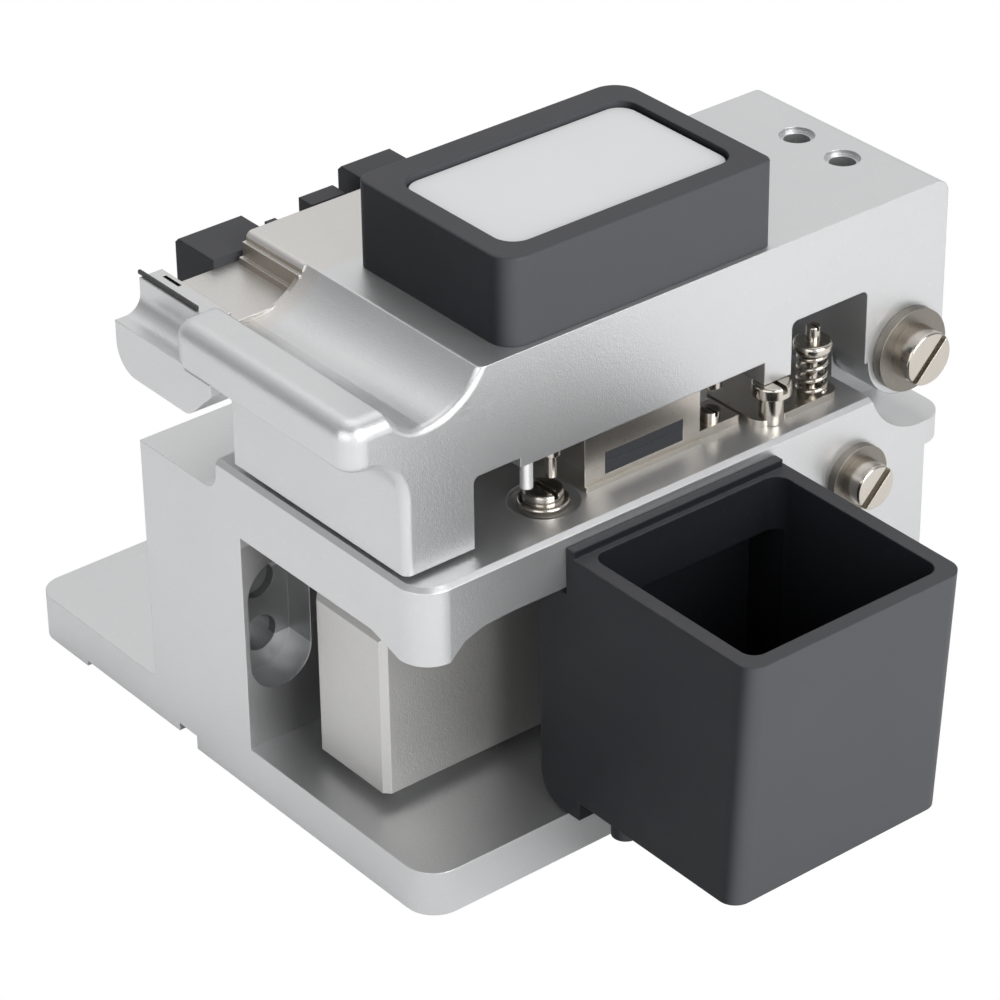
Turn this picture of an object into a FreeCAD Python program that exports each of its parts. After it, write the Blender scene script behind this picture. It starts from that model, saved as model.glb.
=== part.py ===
import FreeCAD, Part
import os
import Sketcher

# Fibre cleaver: a hinged lid over a machined base, a sliding blade wheel and a scrap bin.
# Millimetres. While it is drawn, X points right, Y back and Z up, from the lower front
# edge of the base. At the end every piece is moved so that the origin lies under the
# middle of the whole cleaver, on the plane its rubber feet stand on.

doc = FreeCAD.newDocument("fibre_cleaver")
sheet = doc.addObject("Spreadsheet::Sheet", "Sizes")
Vector = FreeCAD.Vector


# every driving size, written once
sizes = {
    # fits and clearances
    "touch_gap": 0.05,
    "press_gap": 0.02,
    "running_gap": 0.04,
    "side_gap": 0.3,
    "slide_gap": 0.1,
    # base body
    "base_right": 35.4,
    "platform_top": 35.4,
    "base_depth": 61.0,
    "slab_over": 3.1,
    "slab_under": -7.7,
    "plate_top": 4.75,
    "block_left": -7.7,
    "ledge_top": -3.5,
    "platform_left": 4.7,
    "foot_left": -29.0,
    "foot_top": 5.0,
    "corner_round": 3.2,
    "foot_round": 2.75,
    "rear_round": 3.0,
    "ledge_round": 2.0,
    "foot_root_round": 0.8,
    "edge_bevel": 0.45,
    "bay_left": 8.05,
    "bay_rear": 43.5,
    "bay_ceiling": -6.9,
    "bay_high": -5.6,
    "lug_under": -8.1,
    "lug_inset": 3.4,
    "lug_slope": 4.0,
    "lug_rear": 3.2,
    "lug_bend_y": 4.9,
    "lug_bend_z": -6.5,
    "lug_end_y": 7.1,
    "lug_end_z": -5.8,
    "bay_high_start": 10.2,
    "relief_left": -4.0,
    "relief_right": -1.05,
    "relief_high": 1.5,
    "sole_step_left": -20.0,
    "sole_step_deep": 0.6,
    "pocket_front": 0.6,
    "pocket_wide": 7.0,
    "pocket_low": 14.0,
    "pocket_high": 21.1,
    "pocket_deep": 3.5,
    "bore_radius": 1.9,
    "bore_deep": 4.0,
    "slot_left": 16.9,
    "slot_right": 20.3,
    "slot_front": 4.3,
    "slot_rear": 43.3,
    "foot_pad_radius": 4.0,
    "foot_pad_sunk": 0.5,
    "foot_pad_proud": 0.4,
    "foot_pad_left": -23.5,
    "foot_pad_side": 7.4,
    "foot_pad_front": 8.0,
    "foot_pad_inset": 8.0,
    # hinge
    "hinge_inset": 3.5,
    "hinge_z": 2.0,
    "boss_radius": 4.85,
    "knuckle_radius": 4.6,
    "groove_radius": 7.1,
    "knuckle_left": 12.8,
    "boss_wide": 5.2,
    "knuckle_foot_over": 1.6,
    "hinge_pin_radius": 2.0,
    "hinge_washer_radius": 4.25,
    "hinge_washer_thick": 0.95,
    "hinge_head_radius": 2.75,
    "hinge_head_high": 2.3,
    "knuckle_clear": 5.3,
    # lid
    "lid_left": 7.2,
    "lid_inset": 2.7,
    "deck_top": 18.45,
    "lid_front": 0.5,
    "lid_over": 4.7,
    "cheek_bottom": 0.5,
    "cheek_rear": 8.2,
    "brow_top": 7.8,
    "brow_rear": 13.5,
    "skirt_bottom": 6.8,
    "stop_front": 42.5,
    "stop_bottom": 4.4,
    "window_front": 45.8,
    "window_inset": 5.3,
    "window_top": 9.9,
    "window_round": 0.7,
    "deck_rear_round": 1.5,
    "lip_left": 6.34,
    "lip_front": -5.3,
    "lip_bottom": 12.7,
    "lip_top": 17.5,
    "lip_nose_round": 1.7,
    "lip_corner_round": 2.1,
    "lip_crest_round": 0.7,
    "lip_foot_round": 0.8,
    "lip_root_round": 4.5,
    "scoop_y": 2.9,
    "scoop_floor": 14.9,
    "scoop_front_radius": 3.7,
    "scoop_rear_radius": 7.2,
    "wing_left": -2.3,
    "wing_right": 12.4,
    "wing_bottom": 8.6,
    "wing_ledge": 13.6,
    "wing_left_round": 2.8,
    "wing_bevel_x": 8.9,
    "wing_bevel_z": 11.9,
    "wing_bevel_round": 2.0,
    "cove_round": 1.8,
    "band_front": -2.4,
    "band_rear": 0.1,
    "band_top": 16.95,
    "shelf_left": -1.6,
    "deck_left": -0.95,
    "mark_front": -0.7,
    "mark_rear": -0.3,
    "mark_deep": 0.3,
    "mark_long": 2.5,
    "mark_left": -1.1,
    "mark_gap": 7.0,
    "shelf_right": 7.7,
    "shelf_top": 15.4,
    "shelf_rear": 34.0,
    "step_one_y": 7.7,
    "step_one_z": 16.1,
    "step_two_y": 8.15,
    "step_two_z": 17.55,
    "step_three_y": 8.6,
    "cavity_left": 12.9,
    "cavity_right": 24.3,
    "cavity_front": 12.0,
    "cavity_rear": 50.0,
    "cavity_top": 14.9,
    "deck_hole_left": 17.05,
    "deck_hole_right": 23.4,
    "deck_hole_inset": 0.2,
    "deck_hole_radius": 1.3,
    "deck_hole_mouth": 1.75,
    "deck_hole_deep": 5.0,
    # dark edge strip on the wing
    "strip_left": -3.0,
    "strip_right": 6.2,
    "strip_front": -2.35,
    "strip_rear": -1.55,
    "strip_high": 0.5,
    # cover box and its label plate
    "cover_left": 10.5,
    "cover_inset": 0.6,
    "cover_front": 12.6,
    "cover_rear": 43.6,
    "cover_high": 8.75,
    "cover_near_round": 2.5,
    "cover_left_round": 1.5,
    "cover_right_round": 1.0,
    "cover_far_round": 2.8,
    "cover_rim_round": 0.25,
    "cover_wall": 2.0,
    "cover_roof_thick": 3.6,
    "recess_from_left": 3.1,
    "recess_from_right": 2.3,
    "recess_from_front": 2.3,
    "recess_from_rear": 2.2,
    "recess_deep": 0.8,
    "recess_round": 2.2,
    "label_gap": 0.3,
    "label_thick": 0.25,
    # fibre clamps
    "fibre_z": 2.25,
    "wheel_middle": 18.6,
    "clamp_front": 22.3,
    "clamp_rear": 36.1,
    "clamp_inset": 1.7,
    "clamp_reach": 0.484,
    "clamp_top": 6.5,
    "pad_front": 24.7,
    "pad_rear": 34.05,
    "pad_share": 0.75,
    "pad_low": 1.0,
    "pad_high": 3.3,
    "clamp_sole": 0.5,
    "sole_proud": 0.25,
    "ear_front": 17.0,
    "ear_rear": 41.2,
    "clamp_ear_inner": 3.0,
    "clamp_ear_outer": 1.1,
    "ear_thick": 0.7,
    "guide_inset": 1.4,
    "guide_front_y": 19.5,
    "guide_rear_y": 38.6,
    "guide_head_radius": 0.95,
    "guide_head_high": 1.2,
    "guide_shank_radius": 0.55,
    "guide_stud_bottom": 2.25,
    "guide_top": 13.6,
    "guide_bore": 1.55,
    "spring_top": 11.1,
    "clamp_spring_radius": 1.15,
    "clamp_spring_wire": 0.17,
    "clamp_lift_pocket": 8.0,
    "foot_ear_thick": 0.9,
    "foot_ear_rear": 41.2,
    "adjuster_y": 18.6,
    "adjuster_flange": 2.45,
    "adjuster_flange_high": 0.85,
    "adjuster_head": 1.9,
    "adjuster_head_high": 1.0,
    "adjuster_recess": 3.4,
    "adjuster_recess_deep": 0.6,
    "clamp_screw_radius": 0.95,
    "clamp_screw_high": 1.1,
    "pin_beside": 0.8,
    "pin_y": 16.0,
    "pin_radius": 0.6,
    "pin_top": 9.6,
    "pin_bottom": 2.8,
    # stop plate, stop screw and lift plunger
    "stop_plate_wide": 8.45,
    "stop_plate_over": 0.35,
    "stop_plate_front": 41.8,
    "stop_plate_behind": 2.3,
    "stop_plate_thick": 0.7,
    "stop_plate_round": 1.4,
    "stop_inset": 0.4,
    "stop_y": 43.8,
    "stop_radius": 1.9,
    "stop_head_high": 1.25,
    "stop_shank": 1.2,
    "plunger_inset": 1.3,
    "plunger_share": 0.41,
    "plunger_stem": 0.55,
    "plunger_flange": 1.9,
    "plunger_flange_low": 5.1,
    "plunger_flange_high": 1.1,
    "plunger_cap": 0.7,
    "plunger_top": 7.7,
    "plunger_travel": 1.6,
    "plunger_bottom": -4.8,
    "lift_spring_radius": 1.35,
    "lift_spring_wire": 0.2,
    # anvil
    "anvil_half": 3.0,
    "anvil_y": 29.0,
    "anvil_bottom": 2.9,
    "anvil_top": 7.2,
    "anvil_stem": 1.5,
    "anvil_head": 2.7,
    "anvil_head_high": 1.2,
    "anvil_spring_radius": 2.2,
    "anvil_spring_wire": 0.35,
    # slider, rail and blade wheel
    "slider_left": 13.3,
    "slider_right": 23.9,
    "slider_front": 4.2,
    "slider_rear": 26.0,
    "slider_bottom": 6.1,
    "slider_top": -11.9,
    "slider_bevel": 0.6,
    "ear_top": -6.0,
    "slider_ear_front": 11.0,
    "slider_ear_rear": 19.0,
    "wheel_y": 15.0,
    "wheel_z": -7.8,
    "wheel_radius": 10.0,
    "wheel_left": 18.0,
    "wheel_thick": 1.2,
    "hub_radius": 5.5,
    "hub_left": 17.4,
    "hub_right": 19.8,
    "axle_radius": 1.0,
    "axle_head": 1.7,
    "axle_head_thick": 0.9,
    "wheel_well_left": 17.0,
    "wheel_well_right": 20.2,
    "wheel_well_front": 5.4,
    "wheel_well_rear": 24.7,
    "wheel_well_floor": -18.2,
    "rail_left": 16.6,
    "rail_right": 20.6,
    "rail_front": 6.0,
    "rail_rear": 43.2,
    "rail_clear": 0.2,
    "way_deep": 2.0,
    "carriage_left": 15.3,
    "carriage_right": 21.9,
    "carriage_front": 6.5,
    "carriage_rear": 24.0,
    "carriage_clear": 0.3,
    "carriage_top": 12.3,
    "rail_screw_radius": 1.3,
    "rail_screw_front": 14.0,
    "rail_screw_rear": 34.0,
    # side screw
    "side_inset": 9.2,
    "side_z": -7.6,
    "side_washer": 3.4,
    "side_washer_thick": 0.9,
    "side_head": 2.3,
    "side_head_high": 2.2,
    # fibre adapter
    "adapter_left": -7.4,
    "adapter_right": 2.4,
    "adapter_front": 18.0,
    "adapter_rear": 40.0,
    "groove_half": 0.7,
    "groove_deep": 0.7,
    "adapter_screw_x": -2.4,
    "adapter_screw_front": 21.2,
    "adapter_screw_rear": 36.8,
    "adapter_screw_head": 1.6,
    # clamp bracket, flap and pin on the left of the lid
    "bracket_left": -7.7,
    "ear_a_front": 5.3,
    "ear_a_rear": 12.5,
    "ear_a_top": 16.3,
    "ear_d_front": 24.2,
    "ear_d_rear": 30.0,
    "ear_d_top": 17.6,
    "bracket_bottom": 9.1,
    "strap_left": -2.6,
    "flap_x": -4.9,
    "flap_z": 12.8,
    "flap_knuckle": 2.1,
    "flap_pin_radius": 0.8,
    "flap_front": 12.9,
    "flap_rear": 23.8,
    "tab_front": 19.0,
    "tab_rear": 23.0,
    "tab_top": 16.1,
    "nub_front": 14.2,
    "nub_rear": 15.4,
    "nub_top": 15.6,
    "flap_leaf_left": -6.0,
    "flap_leaf_right": -3.9,
    "flap_foot_left": -7.3,
    "flap_foot_right": -4.95,
    "flap_foot_rear": 32.6,
    "flap_foot_top": 5.0,
    "flap_pad_top": 3.0,
    # scrap bin
    "bin_long": 24.6,
    "bin_front": 16.4,
    "bin_rear": 42.0,
    "bin_top": -2.2,
    "bin_bottom": 7.0,
    "bin_draft": 1.6,
    "bin_wall": 1.55,
    "bin_floor": 1.6,
    "bin_round": 1.8,
    "bin_inner_round": 1.5,
    "bin_toe_under": 3.7,
    "bin_toe_top": -6.4,
    "bin_toe_bottom": 5.0,
    "bin_toe_over": 1.8,
    "bin_toe_round": 3.0,
    "flange_thick": 1.0,
    "flange_top": -1.4,
    "flange_rear": 41.5,
    "peg_radius": 1.2,
    "peg_z": -3.8,
    "peg_front": 20.4,
    "peg_rear": 37.6,
    "peg_long": 3.0,
    "peg_grip": 1.0,
    "catch_inset": 5.7,
    "catch_y": 18.6,
    "catch_radius": 1.35,
    "catch_high": 2.2,
}


class Size:
    # a length that knows both its number and the sheet expression that gives it
    def __init__(self, number, text=None):
        self.number = number
        self.text = text if text else repr(number)

    def __add__(self, other):
        other = as_size(other)
        return Size(self.number + other.number, "(%s + %s)" % (self.text, other.text))

    def __sub__(self, other):
        other = as_size(other)
        return Size(self.number - other.number, "(%s - %s)" % (self.text, other.text))

    def __mul__(self, other):
        other = as_size(other)
        return Size(self.number * other.number, "(%s * %s)" % (self.text, other.text))

    def __truediv__(self, other):
        other = as_size(other)
        return Size(self.number / other.number, "(%s / %s)" % (self.text, other.text))

    def __neg__(self):
        return Size(-self.number, "(0 - %s)" % self.text)


def as_size(value):
    return value if isinstance(value, Size) else Size(float(value))


class Sizes:
    # the driving sizes, each with its number, its sheet cell and its name
    def __init__(self, values):
        for row, (name, value) in enumerate(values.items(), 1):
            sheet.set("A%d" % row, name)
            sheet.set("B%d" % row, str(value))
            sheet.setAlias("B%d" % row, name)
            setattr(self, name, Size(float(value), "Sizes." + name))


s = Sizes(sizes)

# these heights are measured from the platform
above_platform = (
    "ledge_top", "bay_ceiling", "bay_high", "lug_under", "lug_bend_z", "lug_end_z",
    "slab_under", "hinge_z", "deck_top", "cheek_bottom", "brow_top", "skirt_bottom",
    "stop_bottom", "window_top", "lip_bottom", "lip_top", "scoop_floor", "wing_bottom",
    "wing_ledge", "wing_bevel_z", "band_top", "shelf_top", "step_one_z", "step_two_z",
    "cavity_top", "fibre_z", "clamp_top", "pad_low", "pad_high", "guide_stud_bottom",
    "guide_top", "spring_top", "clamp_lift_pocket", "pin_top", "pin_bottom",
    "plunger_flange_low", "plunger_top", "plunger_bottom", "anvil_bottom", "anvil_top",
    "slider_top", "ear_top", "wheel_z", "wheel_well_floor", "side_z", "ear_a_top",
    "ear_d_top", "bracket_bottom", "flap_z", "tab_top", "nub_top", "flap_foot_top",
    "flap_pad_top", "bin_top", "bin_toe_top", "flange_top", "peg_z",
)
for name in above_platform:
    setattr(s, name, s.platform_top + getattr(s, name))

# sizes that follow the rear of the base
s.slab_rear = s.base_depth + s.slab_over
s.hinge_y = s.slab_rear - s.hinge_inset
s.knuckle_foot_rear = s.hinge_y + s.knuckle_foot_over
s.lid_rear = s.hinge_y + s.lid_over
s.window_rear = s.hinge_y - s.window_inset
s.deck_hole_y = s.hinge_y - s.deck_hole_inset
s.foot_pad_rear = s.base_depth - s.foot_pad_inset
s.side_y = s.base_depth - s.side_inset

# sizes that follow the right side of the base
s.lug_left = s.base_right - s.lug_inset
s.lug_start = s.lug_left - s.lug_slope
s.foot_pad_right = s.base_right - s.foot_pad_side
s.lid_right = s.base_right - s.lid_inset
s.knuckle_right = s.lid_right - s.boss_wide
s.bin_left = s.base_right + s.slide_gap
s.bin_right = s.bin_left + s.bin_long
s.bin_toe_left = s.base_right - s.bin_toe_under
s.bin_toe_right = s.base_right + s.bin_toe_over
s.flange_right = s.bin_left + s.flange_thick
s.peg_left = s.base_right - s.peg_long
s.catch_x = s.bin_left + s.catch_inset

# rail in a way sunk into the floor of the bay, low enough to pass under the slider
s.way_floor = s.plate_top - s.way_deep
s.rail_top = s.slider_bottom - s.rail_clear
s.carriage_bottom = s.way_floor + s.carriage_clear

# cover box on the deck, its recess inside its own edges
s.cover_right = s.lid_right - s.cover_inset
s.cover_top = s.deck_top + s.cover_high
s.cover_roof = s.cover_top - s.cover_roof_thick
s.recess_left = s.cover_left + s.recess_from_left
s.recess_right = s.cover_right - s.recess_from_right
s.recess_front = s.cover_front + s.recess_from_front
s.recess_rear = s.cover_rear - s.recess_from_rear

# fibre clamps beside the wheel, with their ears round the guide screws
s.clamp_out = s.lid_right - s.clamp_inset
s.clamp_in = s.wheel_middle + (s.clamp_out - s.wheel_middle) * s.clamp_reach
s.pad_in = s.clamp_out - (s.clamp_out - s.clamp_in) * s.pad_share
s.guide_x = s.clamp_out - s.guide_inset
s.ear_in = s.guide_x - s.clamp_ear_inner
s.ear_out = s.guide_x + s.clamp_ear_outer
s.adjuster_x = s.guide_x
s.pin_x = s.guide_x + s.pin_beside

# stop plate, stop screw and lift plunger under the lid's window
s.stop_plate_right = s.lid_right + s.stop_plate_over
s.stop_plate_left = s.stop_plate_right - s.stop_plate_wide
s.stop_x = s.lid_right - s.stop_inset
s.plunger_x = s.lid_right - s.plunger_inset
s.plunger_y = s.window_front + (s.window_rear - s.window_front) * s.plunger_share
s.stop_plate_rear = s.plunger_y + s.stop_plate_behind


def shift_expressions():
    # the move that puts the origin under the middle of the cleaver
    return {
        "x": -(s.foot_left + s.bin_right) / 2,
        "y": -(s.lip_front + s.hinge_y + s.boss_radius) / 2,
        "z": s.foot_pad_proud,
    }


class Piece:
    # one separate piece of the cleaver, drawn as a body

    def __init__(self, name):
        self.body = doc.addObject("PartDesign::Body", name)
        self.body.Label = name
        self.count = 0
        doc.recompute()

    def plane(self, role):
        found = [f for f in self.body.Origin.OriginFeatures if f.Role == role]
        return found[0]

    def name(self, label):
        self.count += 1
        return "%s_%s_%d" % (self.body.Label, label, self.count)

    def outline(self, label, role, height, points):
        # closed line through the given points on a plane parallel to one of the body's own
        sketch = self.body.newObject("Sketcher::SketchObject", self.name(label))
        sketch.AttachmentSupport = [(self.plane(role), "")]
        sketch.MapMode = "FlatFace"
        sketch.setExpression("AttachmentOffset.Base.z", as_size(height).text)
        pairs = [(as_size(a), as_size(b)) for a, b in points]
        total = len(pairs)
        for i in range(total):
            a, b = pairs[i], pairs[(i + 1) % total]
            start = Vector(a[0].number, a[1].number, 0)
            end = Vector(b[0].number, b[1].number, 0)
            sketch.addGeometry(Part.LineSegment(start, end), False)
        for i in range(total):
            sketch.addConstraint(Sketcher.Constraint("Coincident", i, 2, (i + 1) % total, 1))
        for i, (a, b) in enumerate(pairs):
            for kind, value in (("DistanceX", a), ("DistanceY", b)):
                rule = Sketcher.Constraint(kind, -1, 1, i, 1, value.number)
                index = sketch.addConstraint(rule)
                sketch.setExpression("Constraints[%d]" % index, value.text)
        return sketch

    def circle(self, label, role, height, centre, radius):
        sketch = self.body.newObject("Sketcher::SketchObject", self.name(label))
        sketch.AttachmentSupport = [(self.plane(role), "")]
        sketch.MapMode = "FlatFace"
        sketch.setExpression("AttachmentOffset.Base.z", as_size(height).text)
        a, b = [as_size(v) for v in centre]
        radius = as_size(radius)
        ring = Part.Circle(Vector(a.number, b.number, 0), Vector(0, 0, 1), radius.number)
        sketch.addGeometry(ring, False)
        rules = [
            (Sketcher.Constraint("DistanceX", -1, 1, 0, 3, a.number), a),
            (Sketcher.Constraint("DistanceY", -1, 1, 0, 3, b.number), b),
            (Sketcher.Constraint("Radius", 0, radius.number), radius),
        ]
        for rule, value in rules:
            index = sketch.addConstraint(rule)
            sketch.setExpression("Constraints[%d]" % index, value.text)
        return sketch

    def pad(self, sketch, length):
        pad = self.body.newObject("PartDesign::Pad", self.name("pad"))
        pad.Profile = sketch
        pad.setExpression("Length", as_size(length).text)
        self.settle(+1)
        return pad

    def pocket(self, sketch, length):
        pocket = self.body.newObject("PartDesign::Pocket", self.name("pocket"))
        pocket.Profile = sketch
        pocket.setExpression("Length", as_size(length).text)
        self.settle(-1)
        return pocket

    def settle(self, sign):
        # recompute, and make sure the step added or took away material as meant
        before = getattr(self, "volume", 0.0)
        doc.recompute()
        self.volume = self.body.Shape.Volume
        if (self.volume - before) * sign <= 1e-6:
            raise RuntimeError("step without effect in " + self.body.Label)

    # a profile seen from the right (Y, Z), from one X to another
    def along_x(self, label, points, low, high, add=True):
        low, high = as_size(low), as_size(high)
        level = low if add else high
        sketch = self.outline(label, "YZ_Plane", level, points)
        return (self.pad if add else self.pocket)(sketch, high - low)

    # a profile seen from the front (X, Z), from one Y to another
    def along_y(self, label, points, low, high, add=True):
        low, high = as_size(low), as_size(high)
        level = -high if add else -low
        sketch = self.outline(label, "XZ_Plane", level, points)
        return (self.pad if add else self.pocket)(sketch, high - low)

    # a profile seen from above (X, Y), from one Z to another
    def along_z(self, label, points, low, high, add=True):
        low, high = as_size(low), as_size(high)
        level = low if add else high
        sketch = self.outline(label, "XY_Plane", level, points)
        return (self.pad if add else self.pocket)(sketch, high - low)

    def block(self, label, x0, x1, y0, y1, z0, z1, add=True):
        kind = "PartDesign::AdditiveBox" if add else "PartDesign::SubtractiveBox"
        box = self.body.newObject(kind, self.name(label))
        x0, x1, y0, y1, z0, z1 = [as_size(v) for v in (x0, x1, y0, y1, z0, z1)]
        box.setExpression("Length", (x1 - x0).text)
        box.setExpression("Width", (y1 - y0).text)
        box.setExpression("Height", (z1 - z0).text)
        self.put(box, x0, y0, z0)
        self.settle(+1 if add else -1)
        return box

    def rod(self, label, axis, centre, radius, low, high, add=True):
        # a round bar or bore along an axis, centre given in the other two directions
        kind = "PartDesign::AdditiveCylinder" if add else "PartDesign::SubtractiveCylinder"
        rod = self.body.newObject(kind, self.name(label))
        a, b = [as_size(v) for v in centre]
        low, high = as_size(low), as_size(high)
        rod.setExpression("Radius", as_size(radius).text)
        rod.setExpression("Height", (high - low).text)
        turns = {
            "x": FreeCAD.Rotation(Vector(0, 1, 0), 90),
            "y": FreeCAD.Rotation(Vector(1, 0, 0), -90),
            "z": FreeCAD.Rotation(),
        }
        spots = {"x": (low, a, b), "y": (a, low, b), "z": (a, b, low)}
        rod.Placement = FreeCAD.Placement(Vector(), turns[axis])
        self.put(rod, *spots[axis])
        self.settle(+1 if add else -1)
        return rod

    def put(self, feature, x, y, z):
        feature.setExpression("Placement.Base.x", x.text)
        feature.setExpression("Placement.Base.y", y.text)
        feature.setExpression("Placement.Base.z", z.text)

    def edges(self, wanted):
        # names of the straight edges along an axis at the given two other coordinates
        names = []
        for axis, a, b, *span in wanted:
            a, b = as_size(a).number, as_size(b).number
            keep = {"x": (1, 2, 0), "y": (0, 2, 1), "z": (0, 1, 2)}[axis]
            for i, edge in enumerate(self.body.Shape.Edges):
                if edge.Curve.TypeId != "Part::GeomLine":
                    continue
                ends = [v.Point for v in edge.Vertexes]
                if len(ends) != 2 or abs(ends[0][keep[2]] - ends[1][keep[2]]) < 0.05:
                    continue
                near = [abs(p[keep[0]] - a) < 0.02 and abs(p[keep[1]] - b) < 0.02 for p in ends]
                middle = (ends[0][keep[2]] + ends[1][keep[2]]) / 2
                inside = not span or span[0] < middle < span[1]
                if all(near) and inside:
                    names.append("Edge%d" % (i + 1))
        return sorted(set(names))

    def edges_between(self, low, high):
        # straight edges whose ends lie at the two given places seen from the front
        found = []
        for i, edge in enumerate(self.body.Shape.Edges):
            ends = [v.Point for v in edge.Vertexes]
            if len(ends) != 2:
                continue
            ends.sort(key=lambda point: point.z)
            close = [abs(ends[k].x - spot[0].number) < 0.02
                     and abs(ends[k].z - spot[1].number) < 0.02
                     for k, spot in enumerate((low, high))]
            if all(close):
                found.append("Edge%d" % (i + 1))
        return found

    def circle_edges(self, radius):
        # round edges of one radius
        return ["Edge%d" % (i + 1) for i, edge in enumerate(self.body.Shape.Edges)
                if edge.Curve.TypeId == "Part::GeomCircle"
                and abs(edge.Curve.Radius - as_size(radius).number) < 0.01]

    def dress(self, kind, size_name, size, names):
        # fillet or chamfer on edges given by name
        if not names:
            raise RuntimeError("no edges found in " + self.body.Label)
        last = self.body.Tip
        feature = self.body.newObject(kind, self.name(size_name.lower()))
        feature.Base = (last, names)
        feature.setExpression(size_name, as_size(size).text)
        self.body.Tip = feature
        doc.recompute()
        if "Invalid" in feature.State or not feature.Shape.isValid():
            raise RuntimeError("%s fails on %s" % (feature.Label, names))
        self.volume = self.body.Shape.Volume
        return feature

    def round(self, size, wanted):
        return self.dress("PartDesign::Fillet", "Radius", size, self.edges(wanted))

    def round_between(self, size, low, high):
        names = self.edges_between(low, high)
        return self.dress("PartDesign::Fillet", "Radius", size, names)

    def bevel(self, size, wanted):
        return self.dress("PartDesign::Chamfer", "Size", size, self.edges(wanted))

    def coil(self, x, y, radius, wire, low, high, turns):
        # round wire wound about an upright axis
        x, y, radius, wire = [as_size(v) for v in (x, y, radius, wire)]
        low, high = as_size(low), as_size(high)
        sketch = self.circle("wire", "XZ_Plane", Size(0.0), (radius, low + wire), wire)
        helix = self.body.newObject("PartDesign::AdditiveHelix", self.name("coil"))
        helix.Profile = sketch
        helix.ReferenceAxis = (sketch, ["V_Axis"])
        helix.Mode = 2
        helix.setExpression("Height", (high - low - wire * 2).text)
        helix.Turns = turns
        self.settle(+1)
        self.offset_x, self.offset_y = x, y

    def finish(self):
        # move the finished body into the frame of the whole cleaver
        shift = shift_expressions()
        extra_x = getattr(self, "offset_x", Size(0.0))
        extra_y = getattr(self, "offset_y", Size(0.0))
        self.body.setExpression("Placement.Base.x", (shift["x"] + extra_x).text)
        self.body.setExpression("Placement.Base.y", (shift["y"] + extra_y).text)
        self.body.setExpression("Placement.Base.z", shift["z"].text)
        return self.body


def mirrored(x):
    # the same distance on the other side of the blade wheel
    return s.wheel_middle * 2 - x


def rounded_plate(piece, label, x0, x1, y0, y1, z0, z1, radius, add=True):
    corners = [(x0, y0), (x1, y0), (x1, y1), (x0, y1)]
    piece.along_z(label, corners, z0, z1, add)
    low, high = as_size(z0).number, as_size(z1).number
    edges = [("z", x, y, low, high) for x, y in corners]
    piece.round(radius, edges)


def base_body():
    p = Piece("base_body")
    front_view = [
        (s.foot_left, 0), (s.base_right, 0), (s.base_right, s.platform_top),
        (s.platform_left, s.platform_top), (s.platform_left, s.ledge_top),
        (s.block_left, s.ledge_top), (s.block_left, s.foot_top), (s.foot_left, s.foot_top),
    ]
    p.along_y("body", front_view, 0, s.slab_rear)
    p.block("rear_cut", s.foot_left - 1, s.base_right + 1, s.base_depth, s.slab_rear + 1,
            -1, s.slab_under, add=False)
    p.block("foot_rear_cut", s.foot_left - 1, s.block_left, s.base_depth - 1, s.slab_rear + 1,
            -1, s.foot_top + 1, add=False)
    # rounded upright corners and the soft steps beside the ledge and the foot
    p.round(s.corner_round, [("z", s.base_right, 0)])
    p.round(s.rear_round, [("z", s.base_right, s.slab_rear)])
    p.round(s.foot_round, [("z", s.foot_left, 0), ("z", s.foot_left, s.base_depth - 1)])
    p.round(s.ledge_round, [("y", s.platform_left, s.ledge_top)])
    p.round(s.foot_root_round, [("y", s.block_left, s.foot_top)])
    p.bevel(s.edge_bevel, [("y", s.base_right, s.platform_top), ("x", 0, s.platform_top)])
    # relief groove and shallow step in the sole
    p.block("relief", s.relief_left, s.relief_right, -1, s.slab_rear, -1, s.relief_high,
            add=False)
    p.block("sole_step", s.sole_step_left, s.relief_left + 0.01, -1, s.slab_rear, -1,
            s.sole_step_deep, add=False)
    base_bay(p)
    base_hinge(p)
    base_holes(p)
    return p.finish()


def base_bay(p):
    # the slider bay is open at the front and the right, its ceiling steps at the corner
    out = s.base_right + 1
    p.block("bay", s.bay_left, s.lug_start, -1, s.bay_rear, s.plate_top, s.bay_ceiling,
            add=False)
    high_part = [
        (s.lug_rear, s.plate_top), (s.bay_rear, s.plate_top), (s.bay_rear, s.bay_high),
        (s.bay_high_start, s.bay_high), (s.lug_end_y, s.lug_end_z),
        (s.lug_bend_y, s.lug_bend_z), (s.lug_rear, s.lug_under),
    ]
    p.along_x("bay_high", high_part, s.bay_left, out, add=False)
    front_part = [
        (s.lug_start - 1, s.plate_top), (out, s.plate_top), (out, s.lug_under),
        (s.lug_left, s.lug_under), (s.lug_start, s.bay_ceiling),
        (s.lug_start - 1, s.bay_ceiling),
    ]
    p.along_y("bay_front", front_part, -1, s.lug_rear + 0.2, add=False)
    # way for the rail and the carriage, sunk into the floor of the bay
    p.block("way", s.carriage_left - s.side_gap, s.carriage_right + s.side_gap,
            s.rail_front - s.side_gap, s.bay_rear, s.way_floor, s.plate_top + 1, add=False)
    # slot that lets the blade wheel pass through the platform
    p.block("wheel_slot", s.slot_left, s.slot_right, s.slot_front, s.slot_rear,
            s.bay_ceiling - 1, s.platform_top + 1, add=False)
    # long pocket with two bores in the left wall of the bay
    middle = s.pocket_front + s.pocket_wide / 2
    left = s.bay_left - s.pocket_deep
    p.block("pocket", left, s.bay_left + 1, s.pocket_front, s.pocket_front + s.pocket_wide,
            s.pocket_low, s.pocket_high, add=False)
    for z in (s.pocket_low, s.pocket_high):
        p.rod("pocket_end", "x", (middle, z), s.pocket_wide / 2, left, s.bay_left + 1, add=False)
    for z in (s.pocket_low + 0.6, s.pocket_high - 0.6):
        p.rod("pocket_bore", "x", (middle, z), s.bore_radius, left - s.bore_deep, left + 1,
              add=False)


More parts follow.
